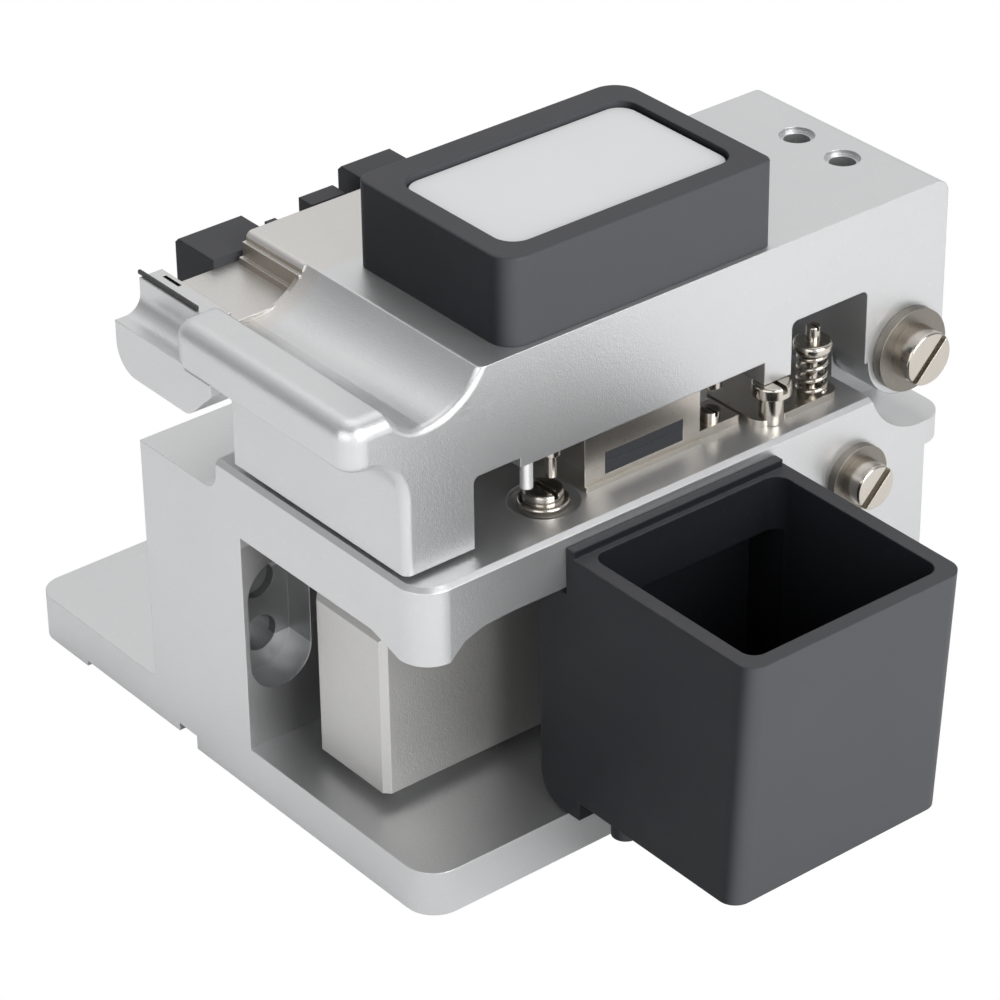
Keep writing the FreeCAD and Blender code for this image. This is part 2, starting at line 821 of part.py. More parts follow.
def base_hinge(p):
    # round groove that clears the lid, with the knuckle standing in it
    left = s.platform_left - 1.2
    out = s.base_right + 1
    p.rod("groove", "x", (s.hinge_y, s.hinge_z), s.groove_radius, left, out, add=False)
    p.block("groove_floor", left, out, s.hinge_y, s.slab_rear + 1,
            s.hinge_z - s.groove_radius, s.platform_top + 1, add=False)
    p.block("knuckle_foot", s.knuckle_left, s.knuckle_right, s.hinge_y - s.knuckle_radius,
            s.knuckle_foot_rear, s.hinge_z - s.groove_radius - 1, s.hinge_z)
    p.rod("knuckle", "x", (s.hinge_y, s.hinge_z), s.knuckle_radius, s.knuckle_left,
          s.knuckle_right)
    p.rod("hinge_bore", "x", (s.hinge_y, s.hinge_z), s.hinge_pin_radius + s.press_gap,
          s.knuckle_left - 1, s.knuckle_right + 1, add=False)


def base_holes(p):
    top = s.platform_top
    for x in (s.adjuster_x, mirrored(s.adjuster_x)):
        p.rod("adjuster_recess", "z", (x, s.adjuster_y), s.adjuster_recess,
              top - s.adjuster_recess_deep, top + 1, add=False)
    p.rod("plunger_bore", "z", (s.plunger_x, s.plunger_y), s.plunger_stem + s.running_gap,
          s.plunger_bottom - 1, top + 1, add=False)
    for y in (s.peg_front, s.peg_rear):
        p.rod("peg_bore", "x", (y, s.peg_z), s.peg_radius + s.running_gap,
              s.peg_left - s.side_gap, s.base_right + 1, add=False)
    for x in (s.foot_pad_left, s.foot_pad_right):
        for y in (s.foot_pad_front, s.foot_pad_rear):
            floor = s.foot_pad_sunk
            p.rod("foot_seat", "z", (x, y), s.foot_pad_radius, -1, floor, add=False)


def rubber_feet():
    return pieces("rubber_feet", [
        lambda p, x=x, y=y: p.rod("foot", "z", (x, y), s.foot_pad_radius,
                                  -s.foot_pad_proud, s.foot_pad_sunk)
        for x in (s.foot_pad_left, s.foot_pad_right)
        for y in (s.foot_pad_front, s.foot_pad_rear)
    ])


def pieces(name, makers):
    # identical small pieces that share one file, each a solid of its own
    bodies = []
    for number, make in enumerate(makers):
        p = Piece("%s_%d" % (name, number + 1))
        make(p)
        bodies.append(p.finish())
    group = doc.addObject("Part::Compound", name)
    group.Label = name
    group.Links = bodies
    return group


def slotted_head(p, axis, centre, radius, low, high, slot_wide, slot_deep, upward=True):
    # round screw head with a straight slot in its outer face
    p.rod("head", axis, centre, radius, low, high)
    a, b = [as_size(v) for v in centre]
    reach = radius + 1
    half = as_size(slot_wide) / 2
    top, floor = high + 1, high - slot_deep
    if axis == "z":
        p.block("slot", a - reach, a + reach, b - half, b + half, floor, top, add=False)
        return
    turn = FreeCAD.Rotation(Vector(1, 0, 0), 45)
    outer = (floor, top) if upward else (low - 1, low + slot_deep)
    slot = p.body.newObject("PartDesign::SubtractiveBox", p.name("slot"))
    slot.setExpression("Length", (outer[1] - outer[0]).text)
    slot.setExpression("Width", (reach * 2).text)
    slot.setExpression("Height", (half * 2).text)
    slot.Placement = FreeCAD.Placement(Vector(), turn)
    corner = (reach - half) * 0.70711
    rise = (reach + half) * 0.70711
    p.put(slot, outer[0], a - corner, b - rise)
    p.settle(-1)


def hinge_screws():
    axis = (s.hinge_y, s.hinge_z)
    middle = s.wheel_middle

    def right(p):
        face = s.lid_right + s.touch_gap + s.hinge_washer_thick
        p.rod("shank", "x", axis, s.hinge_pin_radius, middle + 4, face + 0.2)
        slotted_head(p, "x", axis, s.hinge_head_radius, face, face + s.hinge_head_high,
                     0.75, 1.1)

    def left(p):
        face = s.lid_left - s.touch_gap - s.hinge_washer_thick
        p.rod("shank", "x", axis, s.hinge_pin_radius, face - 0.2, middle - 4)
        slotted_head(p, "x", axis, s.hinge_head_radius, face - s.hinge_head_high, face,
                     0.75, 1.1, upward=False)

    return pieces("hinge_screws", [right, left])


def ring(p, axis, centre, radius, hole, low, high):
    p.rod("ring", axis, centre, radius, low, high)
    p.rod("ring_hole", axis, centre, hole, low - 1, high + 1, add=False)


def hinge_washers():
    axis = (s.hinge_y, s.hinge_z)

    def right(p):
        low = s.lid_right + s.touch_gap
        ring(p, "x", axis, s.hinge_washer_radius, s.hinge_pin_radius, low,
             low + s.hinge_washer_thick)

    def left(p):
        high = s.lid_left - s.touch_gap
        ring(p, "x", axis, s.hinge_washer_radius, s.hinge_pin_radius,
             high - s.hinge_washer_thick, high)

    return pieces("hinge_washers", [right, left])


def side_screw():
    p = Piece("side_screw")
    face = s.base_right + s.side_washer_thick
    slotted_head(p, "x", (s.side_y, s.side_z), s.side_head, face, face + s.side_head_high,
                 0.9, 1.1)
    return p.finish()


def side_washer():
    p = Piece("side_washer")
    p.rod("washer", "x", (s.side_y, s.side_z), s.side_washer, s.base_right,
          s.base_right + s.side_washer_thick)
    return p.finish()


def lid_body():
    p = Piece("lid_body")
    side_view = [
        (s.lid_front, s.cheek_bottom), (s.lid_front, s.lip_bottom),
        (s.lip_front, s.lip_bottom), (s.lip_front, s.lip_top),
        (s.scoop_y, s.lip_top), (s.scoop_y, s.deck_top),
        (s.lid_rear, s.deck_top), (s.lid_rear, s.hinge_z),
        (s.window_rear - 1, s.hinge_z), (s.window_rear - 1, s.cheek_bottom),
    ]
    p.along_x("lid", side_view, s.lip_left, s.lid_right)
    p.round(s.lip_root_round, [("x", s.lid_front, s.lip_bottom)])
    p.round(s.deck_rear_round, [("x", s.lid_rear, s.deck_top)])
    p.round(s.lip_corner_round, [("z", s.lip_left, s.lip_front), ("z", s.lid_right, s.lip_front)])
    p.round(s.lip_nose_round, [("x", s.lip_front, s.lip_top)])
    p.round(s.lip_foot_round, [("x", s.lip_front, s.lip_bottom)])
    lid_scoop(p)
    p.block("left_trim", s.lip_left - 1, s.lid_left, s.lid_front, s.lid_rear + 1,
            s.cheek_bottom - 1, s.deck_top + 1, add=False)
    lid_underside(p)
    lid_left_side(p)
    lid_hinge(p)
    lid_holes(p)
    return p.finish()


def lid_scoop(p):
    # finger scoop behind the lip: tight towards the lip, wide towards the deck
    left, right = s.lip_left - 1, s.lid_right + 1
    p.rod("scoop_front", "x", (s.scoop_y, s.scoop_floor + s.scoop_front_radius),
          s.scoop_front_radius, left, right, add=False)
    rear = p.body.newObject("PartDesign::SubtractiveCylinder", p.name("scoop_rear"))
    rear.setExpression("Radius", s.scoop_rear_radius.text)
    rear.setExpression("Height", (right - left).text)
    rear.Angle = 90
    # the quarter from straight down round to straight back
    turn = FreeCAD.Rotation(Vector(0, 1, 0), 90)
    rear.Placement = FreeCAD.Placement(Vector(), turn)
    p.put(rear, left, s.scoop_y, s.scoop_floor + s.scoop_rear_radius)
    p.settle(-1)
    crest = s.lip_top - s.scoop_floor - s.scoop_front_radius
    reach = (s.scoop_front_radius.number ** 2 - crest.number ** 2) ** 0.5
    p.round(s.lip_crest_round, [("x", s.scoop_y - reach, s.lip_top)])


def lid_underside(p):
    # lower edge of the side walls: cheek, brow, skirt, stop block and window
    low = s.cheek_bottom - 1
    side_cut = [
        (s.cheek_rear, low), (s.cheek_rear, s.brow_top), (s.brow_rear, s.brow_top),
        (s.brow_rear, s.skirt_bottom), (s.stop_front, s.skirt_bottom),
        (s.stop_front, s.stop_bottom), (s.window_front, s.stop_bottom),
        (s.window_front, s.window_top), (s.window_rear, s.window_top), (s.window_rear, low),
    ]
    p.along_x("side_cut", side_cut, s.lip_left - 1, s.lid_right + 1, add=False)
    p.round(s.window_round, [("x", s.window_rear, s.window_top),
                             ("x", s.window_front, s.window_top),
                             ("x", s.cheek_rear, s.brow_top)])
    p.block("cavity", s.cavity_left, s.cavity_right, s.cavity_front, s.cavity_rear,
            s.stop_bottom - 1, s.cavity_top, add=False)
    # room above the clamp plates so that they can give way upwards
    for x0, x1 in ((s.clamp_in - 0.6, s.clamp_out + 0.35),
                   (mirrored(s.clamp_out) + 0.99, mirrored(s.clamp_in) + 0.6)):
        p.block("clamp_room", x0, x1, s.ear_front - 0.4, s.ear_rear + 0.4,
                s.skirt_bottom - 1, s.clamp_lift_pocket, add=False)


def lid_left_side(p):
    # wing in line with the lip, band behind it, then the shelf and its three small steps
    inside = s.lip_left + s.lip_corner_round
    wing = [
        (s.wing_left, s.wing_bottom), (s.wing_bevel_x, s.wing_bottom),
        (s.wing_right, s.wing_bevel_z), (s.wing_right, s.wing_ledge - 0.5),
        (inside, s.wing_ledge - 0.5), (inside, s.wing_ledge), (s.wing_left, s.wing_ledge),
    ]
    p.along_y("wing", wing, s.lip_front, s.lid_front + 1)
    p.round(s.wing_left_round, [("y", s.wing_left, s.wing_bottom)])
    p.round(s.wing_bevel_round, [("y", s.wing_bevel_x, s.wing_bottom)])
    p.block("band", s.wing_left, inside, s.band_front, s.band_rear,
            s.wing_ledge - 1, s.band_top)
    p.round(s.cove_round, [("x", s.band_front, s.wing_ledge)])
    p.block("shelf", s.shelf_left, s.shelf_right, s.band_rear, s.shelf_rear, s.wing_bottom,
            s.shelf_top)
    stairs = [
        (s.step_one_y, s.shelf_top - 1), (s.shelf_rear, s.shelf_top - 1),
        (s.shelf_rear, s.deck_top), (s.step_three_y, s.deck_top),
        (s.step_three_y, s.step_two_z), (s.step_two_y, s.step_two_z),
        (s.step_two_y, s.step_one_z), (s.step_one_y, s.step_one_z),
    ]
    p.along_x("stairs", stairs, s.deck_left, s.shelf_right)
    p.round(s.window_round, [("x", s.step_three_y, s.deck_top)])
    # two short narrow slots in one line, one in the band and one in the crest of the lip
    second = s.mark_left + s.mark_long + s.mark_gap
    for x in (s.mark_left, second):
        p.block("mark", x, x + s.mark_long, s.mark_front, s.mark_rear,
                s.band_top - s.mark_deep, s.deck_top + 1, add=False)


def lid_hinge(p):
    axis = (s.hinge_y, s.hinge_z)
    left_end = s.knuckle_left - s.side_gap
    right_end = s.knuckle_right + s.side_gap
    p.rod("boss_right", "x", axis, s.boss_radius, right_end, s.lid_right)
    p.rod("boss_left", "x", axis, s.boss_radius, s.lid_left, left_end)
    p.block("knuckle_room", left_end, right_end, s.window_rear - 1.5, s.lid_rear + 1,
            s.cheek_bottom - 5, s.hinge_z + 1, add=False)
    p.rod("knuckle_sweep", "x", axis, s.knuckle_clear, left_end, right_end, add=False)
    p.rod("hinge_bore", "x", axis, s.hinge_pin_radius + s.running_gap, s.lid_left - 1,
          s.lid_right + 1, add=False)


def lid_holes(p):
    for x in (s.deck_hole_left, s.deck_hole_right):
        spot = (x, s.deck_hole_y)
        p.rod("deck_hole", "z", spot, s.deck_hole_radius, s.deck_top - s.deck_hole_deep,
              s.deck_top + 1, add=False)
        p.rod("deck_mouth", "z", spot, s.deck_hole_mouth, s.deck_top - 0.45,
              s.deck_top + 1, add=False)
    for x in (s.guide_x, mirrored(s.guide_x)):
        for y in (s.guide_front_y, s.guide_rear_y):
            p.rod("spring_bore", "z", (x, y), s.guide_bore, s.skirt_bottom - 1,
                  s.spring_top, add=False)
            p.rod("guide_hole", "z", (x, y), s.guide_shank_radius, s.spring_top - 1,
                  s.guide_top, add=False)
    p.rod("anvil_bore", "z", (s.wheel_middle, s.anvil_y), s.anvil_stem + s.running_gap,
          s.cavity_top - 1, s.deck_top + 1, add=False)
    p.rod("pin_bore", "z", (s.pin_x, s.pin_y), s.pin_radius, s.skirt_bottom - 1, s.pin_top,
          add=False)


def edge_strip():
    p = Piece("edge_strip")
    p.block("strip", s.strip_left, s.strip_right, s.strip_front, s.strip_rear, s.band_top,
            s.band_top + s.strip_high)
    return p.finish()


def cover_box():
    p = Piece("cover_box")
    left, right, front, rear = s.cover_left, s.cover_right, s.cover_front, s.cover_rear
    p.along_z("cover", [(left, front), (right, front), (right, rear), (left, rear)],
              s.deck_top, s.cover_top)
    p.round(s.cover_near_round, [("z", right, front)])
    p.round(s.cover_left_round, [("z", left, front)])
    p.round(s.cover_right_round, [("z", right, rear)])
    p.round(s.cover_far_round, [("z", left, rear)])
    p.round(s.cover_rim_round, [("x", front, s.cover_top)])
    p.block("hollow", s.cover_left + s.cover_wall, s.cover_right - s.cover_wall,
            s.cover_front + s.cover_wall, s.cover_rear - s.cover_wall, s.deck_top - 1,
            s.cover_roof, add=False)
    rounded_plate(p, "recess", s.recess_left, s.recess_right, s.recess_front, s.recess_rear,
                  s.cover_top - s.recess_deep, s.cover_top, s.recess_round, add=False)
    return p.finish()


def label_plate():
    p = Piece("label_plate")
    floor = s.cover_top - s.recess_deep
    rounded_plate(p, "label", s.recess_left + s.label_gap, s.recess_right - s.label_gap,
                  s.recess_front + s.label_gap, s.recess_rear - s.label_gap, floor,
                  floor + s.label_thick, s.recess_round - s.label_gap)
    return p.finish()


def clamp_sides(name, make):
    # the same clamp piece on the right and, mirrored, on the left of the blade wheel
    right = Piece(name + "_right")
    make(right, lambda x: x)
    left = Piece(name + "_left")
    make(left, mirrored)
    return [right.finish(), left.finish()]


def ordered(a, b):
    a, b = as_size(a), as_size(b)
    return (a, b) if a.number < b.number else (b, a)


def upper_clamps():
    def make(p, side):
        x0, x1 = ordered(side(s.clamp_in), side(s.clamp_out))
        p.block("plate", x0, x1, s.clamp_front, s.clamp_rear, s.fibre_z, s.clamp_top)
        x2, x3 = ordered(side(s.ear_in), side(s.ear_out))
        p.block("ears", x2, x3, s.ear_front, s.ear_rear, s.clamp_top - s.ear_thick, s.clamp_top)
        x4, x5 = ordered(side(s.pad_in), side(s.clamp_out))
        p.block("pad_seat", x4, x5, s.pad_front, s.pad_rear, s.fibre_z, s.pad_high, add=False)
        for y in (s.guide_front_y, s.guide_rear_y):
            p.rod("guide_hole", "z", (side(s.guide_x), y), s.guide_shank_radius + s.running_gap,
                  s.clamp_top - 2, s.clamp_top + 1, add=False)

    return clamp_sides("upper_clamp", make)


def upper_pads():
    def make(p, side):
        x0, x1 = ordered(side(s.pad_in), side(s.clamp_out))
        p.block("pad", x0, x1, s.pad_front, s.pad_rear, s.fibre_z, s.pad_high)

    return clamp_sides("upper_pad", make)


def lower_clamps():
    def make(p, side):
        x0, x1 = ordered(side(s.clamp_in), side(s.clamp_out))
        p.block("plate", x0, x1, s.clamp_front, s.clamp_rear, s.platform_top, s.fibre_z)
        x2, x3 = ordered(side(s.clamp_in), side(s.clamp_out + s.sole_proud))
        p.block("sole", x2, x3, s.clamp_front, s.clamp_rear, s.platform_top,
                s.platform_top + s.clamp_sole)
        x4, x5 = ordered(side(s.ear_in), side(s.ear_out))
        p.block("rear_ear", x4, x5, s.clamp_rear - 1, s.foot_ear_rear, s.platform_top,
                s.platform_top + s.foot_ear_thick)
        x6, x7 = ordered(side(s.pad_in), side(s.clamp_out))
        p.block("pad_seat", x6, x7, s.pad_front, s.pad_rear, s.pad_low, s.fibre_z, add=False)

    return clamp_sides("lower_clamp", make)


def lower_pads():
    def maker(side):
        x0, x1 = ordered(side(s.pad_in), side(s.clamp_out))
        return lambda p: p.block("pad", x0, x1, s.pad_front, s.pad_rear, s.pad_low, s.fibre_z)

    return pieces("lower_pads", [maker(lambda x: x), maker(mirrored)])


def guide_screws():
    # screws in the lid that the upper clamps hang on, the front ones with a longer stud
    def front(x):
        def make(p):
            low = s.clamp_top - s.ear_thick - s.guide_head_high
            p.rod("stud", "z", (x, s.guide_front_y), s.guide_shank_radius,
                  s.guide_stud_bottom, s.guide_top)
            p.rod("head", "z", (x, s.guide_front_y), s.guide_head_radius, low,
                  low + s.guide_head_high)
        return make

    def rear(x):
        def make(p):
            low = s.clamp_top - s.ear_thick - s.guide_head_high
            p.rod("shank", "z", (x, s.guide_rear_y), s.guide_shank_radius, low, s.guide_top)
            p.rod("head", "z", (x, s.guide_rear_y), s.guide_head_radius + 0.15, low,
                  low + s.guide_head_high)
        return make

    xs = (s.guide_x, mirrored(s.guide_x))
    return pieces("guide_screws", [front(x) for x in xs] + [rear(x) for x in xs])


def clamp_springs(name, x):
    return pieces(name, [
        lambda p, y=y: p.coil(x, y, s.clamp_spring_radius, s.clamp_spring_wire, s.clamp_top,
                              s.spring_top, 5)
        for y in (s.guide_front_y, s.guide_rear_y)
    ])


def adjusting_screws():
    def maker(x):
        def make(p):
            floor = s.platform_top - s.adjuster_recess_deep
            low = floor + s.adjuster_flange_high + 0.15
            p.rod("flange", "z", (x, s.adjuster_y), s.adjuster_flange, floor, low)
            slotted_head(p, "z", (x, s.adjuster_y), s.adjuster_head, low - 0.01,
                         low + s.adjuster_head_high, 0.5, 0.5)
        return make

    return pieces("adjusting_screws", [maker(x) for x in (s.adjuster_x,
                                                          mirrored(s.adjuster_x))])


def lower_clamp_screws():
    def maker(x):
        def make(p):
            low = s.platform_top + s.foot_ear_thick
            slotted_head(p, "z", (x, s.guide_rear_y), s.clamp_screw_radius, low,
                         low + s.clamp_screw_high, 0.35, 0.4)
        return make

    return pieces("lower_clamp_screws", [maker(x) for x in (s.guide_x, mirrored(s.guide_x))])


def guide_pin():
    # bright pin that hangs from the lid beside the adjusting screw
    p = Piece("guide_pin")
    p.rod("pin", "z", (s.pin_x, s.pin_y), s.pin_radius, s.pin_bottom, s.pin_top)
    return p.finish()


def stop_plate():
    p = Piece("stop_plate")
    top = s.platform_top + s.stop_plate_thick
    rounded_plate(p, "plate", s.stop_plate_left, s.stop_plate_right, s.stop_plate_front,
                  s.stop_plate_rear, s.platform_top, top, s.stop_plate_round)
    p.rod("plunger_hole", "z", (s.plunger_x, s.plunger_y), s.plunger_stem + s.running_gap,
          s.platform_top - 1, top + 1, add=False)
    p.rod("screw_notch", "z", (s.stop_x, s.stop_y), s.stop_shank + s.running_gap,
          s.platform_top - 1, top + 1, add=False)
    return p.finish()


def stop_screw():
    p = Piece("stop_screw")
    spot = (s.stop_x, s.stop_y)
    high = s.stop_bottom - s.touch_gap
    p.rod("shank", "z", spot, s.stop_shank, s.platform_top, high - s.stop_head_high)
    slotted_head(p, "z", spot, s.stop_radius, high - s.stop_head_high, high, 0.5, 0.6)
    return p.finish()


def lift_plunger():
    p = Piece("lift_plunger")
    spot = (s.plunger_x, s.plunger_y)
    p.rod("stem", "z", spot, s.plunger_stem, s.plunger_bottom + s.plunger_travel, s.plunger_top)
    high = s.plunger_flange_low + s.plunger_flange_high
    p.rod("flange", "z", spot, s.plunger_flange, s.plunger_flange_low, high)
    slotted_head(p, "z", spot, s.plunger_cap, high, s.plunger_top, 0.35, 0.4)
    return p.finish()


def lift_spring():
    p = Piece("lift_spring")
    p.coil(s.plunger_x, s.plunger_y, s.lift_spring_radius, s.lift_spring_wire,
           s.platform_top + s.stop_plate_thick, s.plunger_flange_low, 4.5)
    return p.finish()


def anvil():
    p = Piece("anvil")
    spot = (s.wheel_middle, s.anvil_y)
    p.block("foot", s.wheel_middle - s.anvil_half, s.wheel_middle + s.anvil_half, s.anvil_y - s.anvil_half,
            s.anvil_y + s.anvil_half, s.anvil_bottom, s.anvil_top)
    p.bevel(0.6, [("x", s.anvil_y - s.anvil_half, s.anvil_bottom),
                  ("x", s.anvil_y + s.anvil_half, s.anvil_bottom)])
    p.rod("stem", "z", spot, s.anvil_stem, s.anvil_top - 0.5, s.deck_top)
    p.rod("head", "z", spot, s.anvil_head, s.deck_top, s.deck_top + s.anvil_head_high)
    return p.finish()


def anvil_spring():
    p = Piece("anvil_spring")
    p.coil(s.wheel_middle, s.anvil_y, s.anvil_spring_radius, s.anvil_spring_wire, s.anvil_top,
           s.cavity_top, 5)
    return p.finish()


def slider_block():
    p = Piece("slider_block")
    p.block("block", s.slider_left, s.slider_right, s.slider_front, s.slider_rear,
            s.slider_bottom, s.slider_top)
    p.bevel(s.slider_bevel, [("z", s.slider_left, s.slider_front),
                             ("z", s.slider_right, s.slider_front)])
    p.bevel(s.slider_bevel, [("x", s.slider_front, s.slider_top)])
    p.block("ears", s.slider_left, s.slider_right, s.slider_ear_front, s.slider_ear_rear,
            s.slider_top - 1, s.ear_top)
    p.block("wheel_well", s.wheel_well_left, s.wheel_well_right, s.wheel_well_front,
            s.wheel_well_rear, s.wheel_well_floor, s.ear_top + 1, add=False)
    p.block("carriage_seat", s.carriage_left, s.carriage_right,
            s.carriage_front - s.slide_gap, s.carriage_rear + s.slide_gap,
            s.slider_bottom - 1, s.carriage_top, add=False)
    p.rod("axle_bore", "x", (s.wheel_y, s.wheel_z), s.axle_radius, s.slider_left - 1,
          s.slider_right + 1, add=False)
    return p.finish()


def slide_carriage():
    p = Piece("slide_carriage")
    p.block("block", s.carriage_left, s.carriage_right, s.carriage_front, s.carriage_rear,
            s.carriage_bottom, s.carriage_top)
    p.block("channel", s.rail_left - s.slide_gap, s.rail_right + s.slide_gap,
            s.carriage_front - 1, s.carriage_rear + 1, s.carriage_bottom - 1,
            s.rail_top + s.slide_gap, add=False)
    return p.finish()


def slide_rail():
    p = Piece("slide_rail")
    p.block("rail", s.rail_left, s.rail_right, s.rail_front, s.rail_rear, s.way_floor,
            s.rail_top)
    middle = (s.rail_left + s.rail_right) / 2
    for y in (s.rail_screw_front, s.rail_screw_rear):
        p.rod("screw_seat", "z", (middle, y), s.rail_screw_radius + s.slide_gap,
              s.rail_top - 1.5, s.rail_top + 1, add=False)
    return p.finish()


def rail_screws():
    middle = (s.rail_left + s.rail_right) / 2

    def maker(y):
        def make(p):
            slotted_head(p, "z", (middle, y), s.rail_screw_radius, s.rail_top - 1.5,
                         s.rail_top - 0.2, 0.4, 0.5)
        return make

    return pieces("rail_screws", [maker(y) for y in (s.rail_screw_front, s.rail_screw_rear)])


def axle_screw():
    p = Piece("axle_screw")
    axis = (s.wheel_y, s.wheel_z)
    p.rod("shank", "x", axis, s.axle_radius, s.slider_left - 0.1,
          s.slider_right + s.axle_head_thick)
    p.rod("nut", "x", axis, s.axle_head, s.slider_right, s.slider_right + s.axle_head_thick)
    slotted_head(p, "x", axis, s.axle_head, s.slider_left - s.axle_head_thick,
                 s.slider_left, 0.4, 0.4, upward=False)
    return p.finish()


def blade_wheel():
    p = Piece("blade_wheel")
    axis = (s.wheel_y, s.wheel_z)
    p.rod("hub", "x", axis, s.hub_radius, s.hub_left, s.hub_right)
    p.rod("blade", "x", axis, s.wheel_radius, s.wheel_left, s.wheel_left + s.wheel_thick)
    p.dress("PartDesign::Chamfer", "Size", s.wheel_thick * 0.45,
            p.circle_edges(s.wheel_radius))
    p.rod("bore", "x", axis, s.axle_radius + s.running_gap, s.hub_left - 1, s.hub_right + 1,
          add=False)
    return p.finish()


def fibre_adapter():
    p = Piece("fibre_adapter")
    p.block("block", s.adapter_left, s.adapter_right, s.adapter_front, s.adapter_rear,
            s.ledge_top, s.fibre_z)
    p.bevel(0.5, [("x", s.adapter_front, s.fibre_z), ("x", s.adapter_rear, s.fibre_z)])
    groove = [
        (s.anvil_y - s.groove_half, s.fibre_z + 0.01), (s.anvil_y, s.fibre_z - s.groove_deep),
        (s.anvil_y + s.groove_half, s.fibre_z + 0.01),
    ]
    p.along_x("groove", groove, s.adapter_left - 1, s.adapter_right + 1, add=False)
    for y in (s.adapter_screw_front, s.adapter_screw_rear):
        p.rod("screw_seat", "z", (s.adapter_screw_x, y), s.adapter_screw_head + s.slide_gap,
              s.fibre_z - 1.6, s.fibre_z + 1, add=False)
    return p.finish()


def adapter_screws():
    def maker(y):
        def make(p):
            slotted_head(p, "z", (s.adapter_screw_x, y), s.adapter_screw_head,
                         s.fibre_z - 1.6, s.fibre_z - 0.3, 0.5, 0.5)
        return make

    return pieces("adapter_screws", [maker(y) for y in (s.adapter_screw_front,
                                                        s.adapter_screw_rear)])


def clamp_bracket():
    # black bracket on the left side of the lid, two ears joined by a thin strap
    p = Piece("clamp_bracket")
    wall = s.shelf_left
    p.block("strap", s.strap_left, wall, s.ear_a_front, s.ear_d_rear, s.bracket_bottom,
            s.bracket_bottom + 2)
    p.block("ear_a", s.bracket_left, wall, s.ear_a_front, s.ear_a_rear, s.bracket_bottom,
            s.ear_a_top)
    p.block("ear_d", s.bracket_left, wall, s.ear_d_front, s.ear_d_rear, s.bracket_bottom,
            s.ear_d_top)
    p.bevel(0.5, [("y", s.bracket_left, s.ear_a_top), ("y", s.bracket_left, s.ear_d_top)])
    p.rod("pin_bore", "y", (s.flap_x, s.flap_z), s.flap_pin_radius, s.ear_a_rear - 4,
          s.ear_d_rear + 1, add=False)
    return p.finish()


def flap_pin():
    p = Piece("flap_pin")
    p.rod("pin", "y", (s.flap_x, s.flap_z), s.flap_pin_radius, s.ear_a_rear - 4,
          s.ear_d_rear)
    return p.finish()


def clamp_flap():
    p = Piece("clamp_flap")
    axis = (s.flap_x, s.flap_z)
    p.rod("knuckle", "y", axis, s.flap_knuckle, s.flap_front, s.flap_rear)
    p.block("leaf", s.flap_leaf_left, s.flap_leaf_right, s.flap_front, s.flap_rear,
            s.flap_foot_top - 0.5, s.flap_z)
    p.block("foot", s.flap_foot_left, s.flap_foot_right, s.flap_front, s.flap_foot_rear,
            s.flap_pad_top, s.flap_foot_top)
    p.block("tab", s.flap_x - s.flap_knuckle, s.flap_x, s.tab_front, s.tab_rear,
            s.flap_z, s.tab_top)
    p.block("nub", s.flap_x - 1, s.flap_x, s.nub_front, s.nub_rear, s.flap_z, s.nub_top)
    p.rod("bore", "y", axis, s.flap_pin_radius + s.running_gap, s.flap_front - 1,
          s.flap_rear + 1, add=False)
    return p.finish()


def flap_pad():
    p = Piece("flap_pad")
    p.block("pad", s.flap_foot_left + 0.1, s.flap_foot_right - 0.1, s.ear_d_front,
            s.flap_foot_rear, s.fibre_z + s.touch_gap, s.flap_pad_top)
    return p.finish()


def scrap_bin():
    p = Piece("scrap_bin")
    low_right = s.bin_right - s.bin_draft
    front_view = [
        (s.bin_toe_left, s.bin_toe_bottom), (s.bin_toe_right, s.bin_toe_bottom),
        (s.bin_toe_right, s.bin_bottom), (low_right, s.bin_bottom),
        (s.bin_right, s.bin_top), (s.bin_left, s.bin_top), (s.bin_left, s.bin_toe_top),
        (s.bin_toe_left, s.bin_toe_top),
    ]
    p.along_y("bin", front_view, s.bin_front, s.bin_rear)
    p.round(s.bin_toe_round, [("y", s.bin_toe_left, s.bin_toe_bottom)])
    p.round_between(s.bin_round, (low_right, s.bin_bottom), (s.bin_right, s.bin_top))
    p.block("flange", s.bin_left, s.flange_right, s.bin_front, s.flange_rear,
            s.bin_top - 1, s.flange_top)
    inner_low = low_right - s.bin_wall
    inner_high = s.bin_right - s.bin_wall
    floor = s.bin_bottom + s.bin_floor
    hollow = [
        (s.bin_left + s.bin_wall, floor), (inner_low, floor),
        (inner_high, s.bin_top), (inner_high, s.bin_top + 2),
        (s.bin_left + s.bin_wall, s.bin_top + 2),
    ]
    front, rear = s.bin_front + s.bin_wall, s.bin_rear - s.bin_wall
    p.along_y("hollow", hollow, front, rear, add=False)
    p.round_between(s.bin_inner_round, (inner_low, floor), (inner_high, s.bin_top))
    inner_left = s.bin_left + s.bin_wall
    p.round(s.bin_inner_round, [("z", inner_left, front), ("z", inner_left, rear)])
    p.block("toe_hollow", s.bin_toe_left + s.bin_wall, s.bin_left + s.bin_wall + 1,
            s.bin_front + s.bin_wall, s.bin_rear - s.bin_wall, floor,
            s.bin_toe_top - s.bin_wall, add=False)
    for y in (s.peg_front, s.peg_rear):
        p.rod("peg_hole", "x", (y, s.peg_z), s.peg_radius, s.bin_left - 1,
              s.bin_left + s.peg_grip, add=False)
    return p.finish()


def bin_pegs():
    def maker(y):
        return lambda p: p.rod("peg", "x", (y, s.peg_z), s.peg_radius, s.peg_left,
                               s.bin_left + s.peg_grip)

    return pieces("bin_pegs", [maker(y) for y in (s.peg_front, s.peg_rear)])


def bin_catch():
    p = Piece("bin_catch")
    p.rod("catch", "z", (s.catch_x, s.catch_y), s.catch_radius,
          s.bin_bottom - s.catch_high, s.bin_bottom)
    return p.finish()


